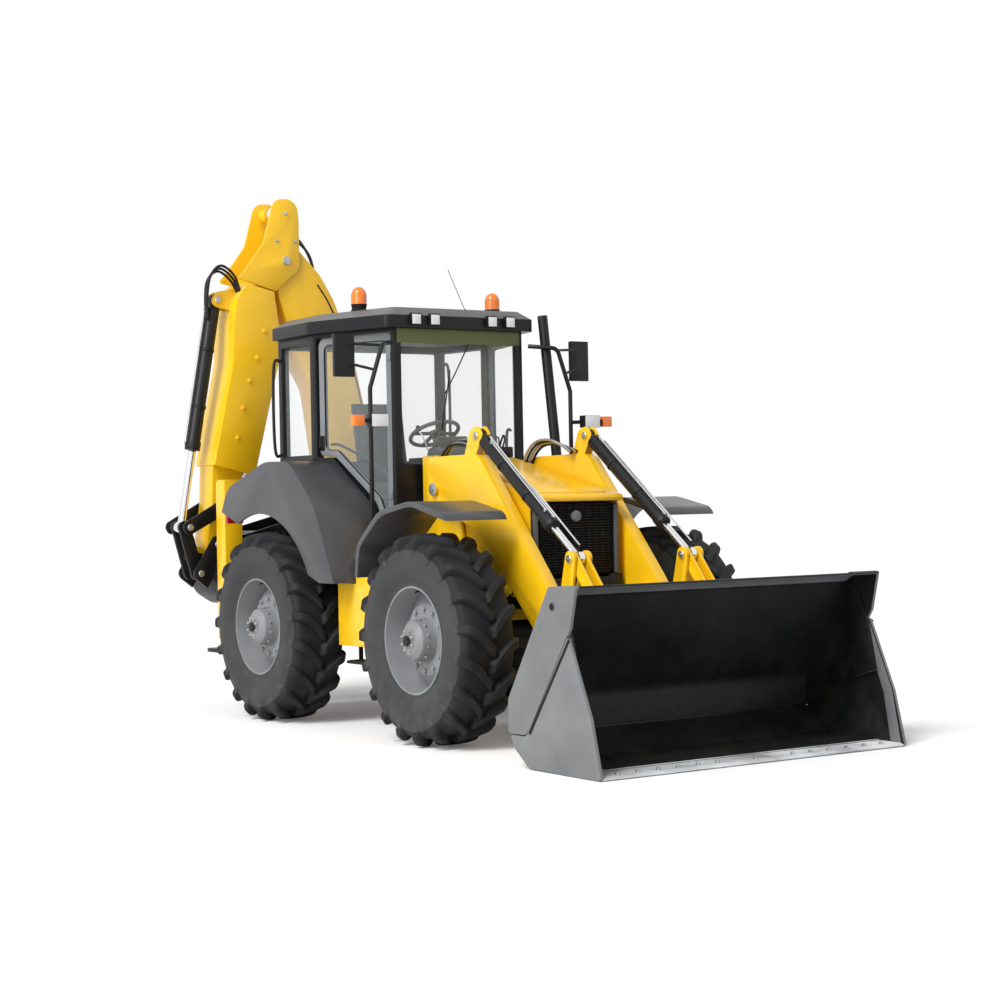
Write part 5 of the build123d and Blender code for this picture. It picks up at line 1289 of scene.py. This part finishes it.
# Hose loops: on the slide, and over the knuckle between boom and dipper
for k in range(3):
    x = 0.060 + 0.030 * k
    route = [onHoe(-0.600, 3.285, x), onHoe(-0.660, 3.420 + 0.02 * k, x), onHoe(-0.780, 3.500 + 0.02 * k, x),
             onHoe(-0.875, 3.420 + 0.015 * k, x), onHoe(-0.885, 3.270, x * 0.6), onHoe(-0.872, 3.120, x * 0.4)]
    finishPiece(tube(f"slide_hose_{k}", route, 0.0105, 12), "hoseRubber", "dipper_extension")
for k in range(4):
    x = 0.135 - 0.024 * k
    reach = 0.012 * k
    route = [onHoe(0.055, 3.400, x), onHoe(0.060 + reach, 3.520, x), onHoe(0.020 + reach, 3.660, x),
             onHoe(-0.080 + reach, 3.760 + reach, x), onHoe(-0.200, 3.800 + reach, x),
             onHoe(-0.300, 3.770 + reach, x)]
    loop = finishPiece(tube(f"knuckle_hose_{k}", route, 0.0105, 12), "hoseRubber", None)
    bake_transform(loop)
# Steel pipes along the boom's open side
boomRoute = ((0.455, 1.300), (0.520, 1.700), (0.530, 2.150), (0.400, 2.780), (0.215, 3.220), (0.085, 3.420))
for k, x in enumerate((0.145, -0.140)):
    pipe = tube(f"boom_pipe_{k}", [onHoe(y, z, x) for y, z in boomRoute], 0.0095, 10)
    finishPiece(pipe, "blackPaint", "boom")
boomRun = Vector((0, 0.420 - 0.700, 2.480 - 1.300)).normalized()
dipperRun = Vector((0, -0.230 - 0.340, 4.000 - 2.720)).normalized()
crowdRun = Vector((0, -1.120 + 0.790, 1.440 - 3.270)).normalized()
for label, (y, z), run, radius, span, body in (
        ("boom_ram", (0.700, 1.300), boomRun, 0.068, (0.15, 1.02), "boom_barrel"),
        ("dipper_ram", (0.340, 2.720), dipperRun, 0.060, (0.13, 0.69), "dipper_barrel"),
        ("crowd_ram", (-0.790, 3.270), crowdRun, 0.056, (0.12, 1.17), "crowd_barrel")):
    out = Vector((0, run.z, -run.y))
    if out.y > 0 and label == "crowd_ram":
        out = -out
    points = [onHoe(y, z) + run * t + out * (radius + lift) for t, lift in pipeRows(span[0], span[1], 0.014)]
    finishPiece(tube(f"{label}_pipe", points, 0.0085, 10, True, 3), "steelBright", body)
    for k, at in enumerate((0.35, 0.75)):
        place = facing(onHoe(y, z) + run * (span[1] * at), run)
        finishPiece(lathe(f"{label}_clamp_{k}", bandRows(radius, 0.005, 0.014), place, 36), "blackPaint", body)

print("stage: stabilisers, steps and lamps")

step = {"x": (0.930, 1.270), "y": (0.790, 0.925), "z": (0.470, 0.760)}
for side, sign in sides.items():
    cap = sideSlab(f"tower_cap_{side}", sign, (-1.000, -0.860), (0.832, 0.968), (1.8001, 1.812))
    finishPiece(cap, "yellowPaint", "base")
    for k, z in enumerate(step["z"]):
        board = sideSlab(f"step_{side}_{k}", sign, step["x"], step["y"], (z, z + 0.022), 0.005)
        finishPiece(board, "blackPaint", "base")
        cleat = slab(f"cleatMaster_{side}_{k}", (-0.004, -0.055, 0), (0.004, 0.055, 0.004), 0.001)
        start = spot(step["x"][0] + 0.030, sign * sum(step["y"]) / 2, z + 0.0215)
        row(f"step_cleats_{side}_{k}", cleat, 11, start, (0.028, 0, 0), "blackPaint", "base")
    for k, x in enumerate(step["x"]):
        bar = sideSlab(f"step_bar_{side}_{k}", sign, (x - 0.006, x + 0.006),
                       (step["y"][0] - 0.002, step["y"][0] + 0.030), (0.465, 0.900), 0.002)
        finishPiece(bar, "blackPaint", "base")
    lamp = sideSlab(f"tail_lamp_{side}", sign, (-0.655, -0.625), (0.93, 1.07), (1.470, 1.540), 0.006)
    finishPiece(lamp, "redLens", "base")


print("stage: floor, lights and camera")

studio = {"floor": (0.86, 0.86, 0.865), "floorGlow": 0.09, "world": 0.52, "sun": 2.6, "sunSoftness": 24.0,
          "sunFrom": (0.30, -0.80, 0.90), "fill": 420.0, "fillAt": (3.0, -10.0, 3.5), "fillSize": 7.0}


def makeFloor():
    reach = 90.0
    floor = meshPiece("floor", [(-reach, -reach, 0), (reach, -reach, 0), (reach, reach, 0), (-reach, reach, 0)],
                      [(0, 1, 2, 3)])
    mat, tree, shader = newMaterial("studioFloor")
    shader.inputs["Roughness"].default_value = 0.9
    shader.inputs["Specular IOR Level"].default_value = 0.1
    coords = tree.nodes.new("ShaderNodeTexCoord").outputs["Object"]
    color = mixColor(tree, noise(tree, coords, 0.8, 3.0), tuple(c * 0.99 for c in studio["floor"]) + (1,),
                     studio["floor"] + (1,))
    tree.links.new(color, shader.inputs["Base Color"])
    path = tree.nodes.new("ShaderNodeLightPath")
    glow = mathNode(tree, "MULTIPLY", path.outputs["Is Camera Ray"], studio["floorGlow"])
    shader.inputs["Emission Color"].default_value = (1, 1, 1, 1)
    tree.links.new(glow, shader.inputs["Emission Strength"])
    floor.data.materials.append(mat)


def makeWorld():
    world = bpy.data.worlds.new("studio")
    bpy.context.scene.world = world
    world.use_nodes = True
    tree = world.node_tree
    tree.nodes.clear()
    path = tree.nodes.new("ShaderNodeLightPath")
    seen = mathNode(tree, "ADD", path.outputs["Is Camera Ray"], path.outputs["Is Glossy Ray"], True)
    seen = mathNode(tree, "ADD", seen, path.outputs["Is Transmission Ray"], True)
    strength = remap(tree, seen, 0.0, 1.0, studio["world"], 1.0)
    background = tree.nodes.new("ShaderNodeBackground")
    background.inputs["Color"].default_value = (1, 1, 1, 1)
    tree.links.new(strength, background.inputs["Strength"])
    output = tree.nodes.new("ShaderNodeOutputWorld")
    tree.links.new(background.outputs[0], output.inputs["Surface"])


def makeLights():
    sun = bpy.data.lights.new("sun", "SUN")
    sun.energy = studio["sun"]
    sun.angle = math.radians(studio["sunSoftness"])
    sunObject = bpy.data.objects.new("sun", sun)
    sunObject.matrix_world = facing((0, 0, 8), studio["sunFrom"])
    bpy.context.scene.collection.objects.link(sunObject)
    fill = bpy.data.lights.new("fill", "AREA")
    fill.energy = studio["fill"]
    fill.size = studio["fillSize"]
    fillObject = bpy.data.objects.new("fill", fill)
    fillObject.matrix_world = facing(studio["fillAt"], Vector(studio["fillAt"]) - Vector((0, 0, 1.2)))
    bpy.context.scene.collection.objects.link(fillObject)


# The photograph's view: place from the ground under the rear axle, heading, tilt and roll in radians
camera = {"place": (13.738, -8.249, 1.649), "yaw": 2.5463, "pitch": -0.0023, "roll": -0.0192, "lens": 74.155}


def makeCamera():
    yaw, pitch, roll = camera["yaw"], camera["pitch"], camera["roll"]
    ahead = Vector((math.cos(yaw) * math.cos(pitch), math.sin(yaw) * math.cos(pitch), math.sin(pitch)))
    right = Vector((math.sin(yaw), -math.cos(yaw), 0))
    up = right.cross(ahead)
    across = right * math.cos(roll) + up * math.sin(roll)
    above = -right * math.sin(roll) + up * math.cos(roll)
    lens = bpy.data.cameras.new("camera")
    lens.lens = camera["lens"]
    lens.sensor_width = 36.0
    lens.clip_end = 400.0
    viewer = bpy.data.objects.new("camera", lens)
    turn = Matrix((across, above, -ahead)).transposed().to_4x4()
    viewer.matrix_world = Matrix.Translation(spot(*camera["place"])) @ turn
    bpy.context.scene.collection.objects.link(viewer)
    bpy.context.scene.camera = viewer


makeFloor()
makeWorld()
makeLights()
makeCamera()
bpy.context.scene.view_settings.view_transform = "Standard"

for template in set(templates):
    bpy.data.objects.remove(template)
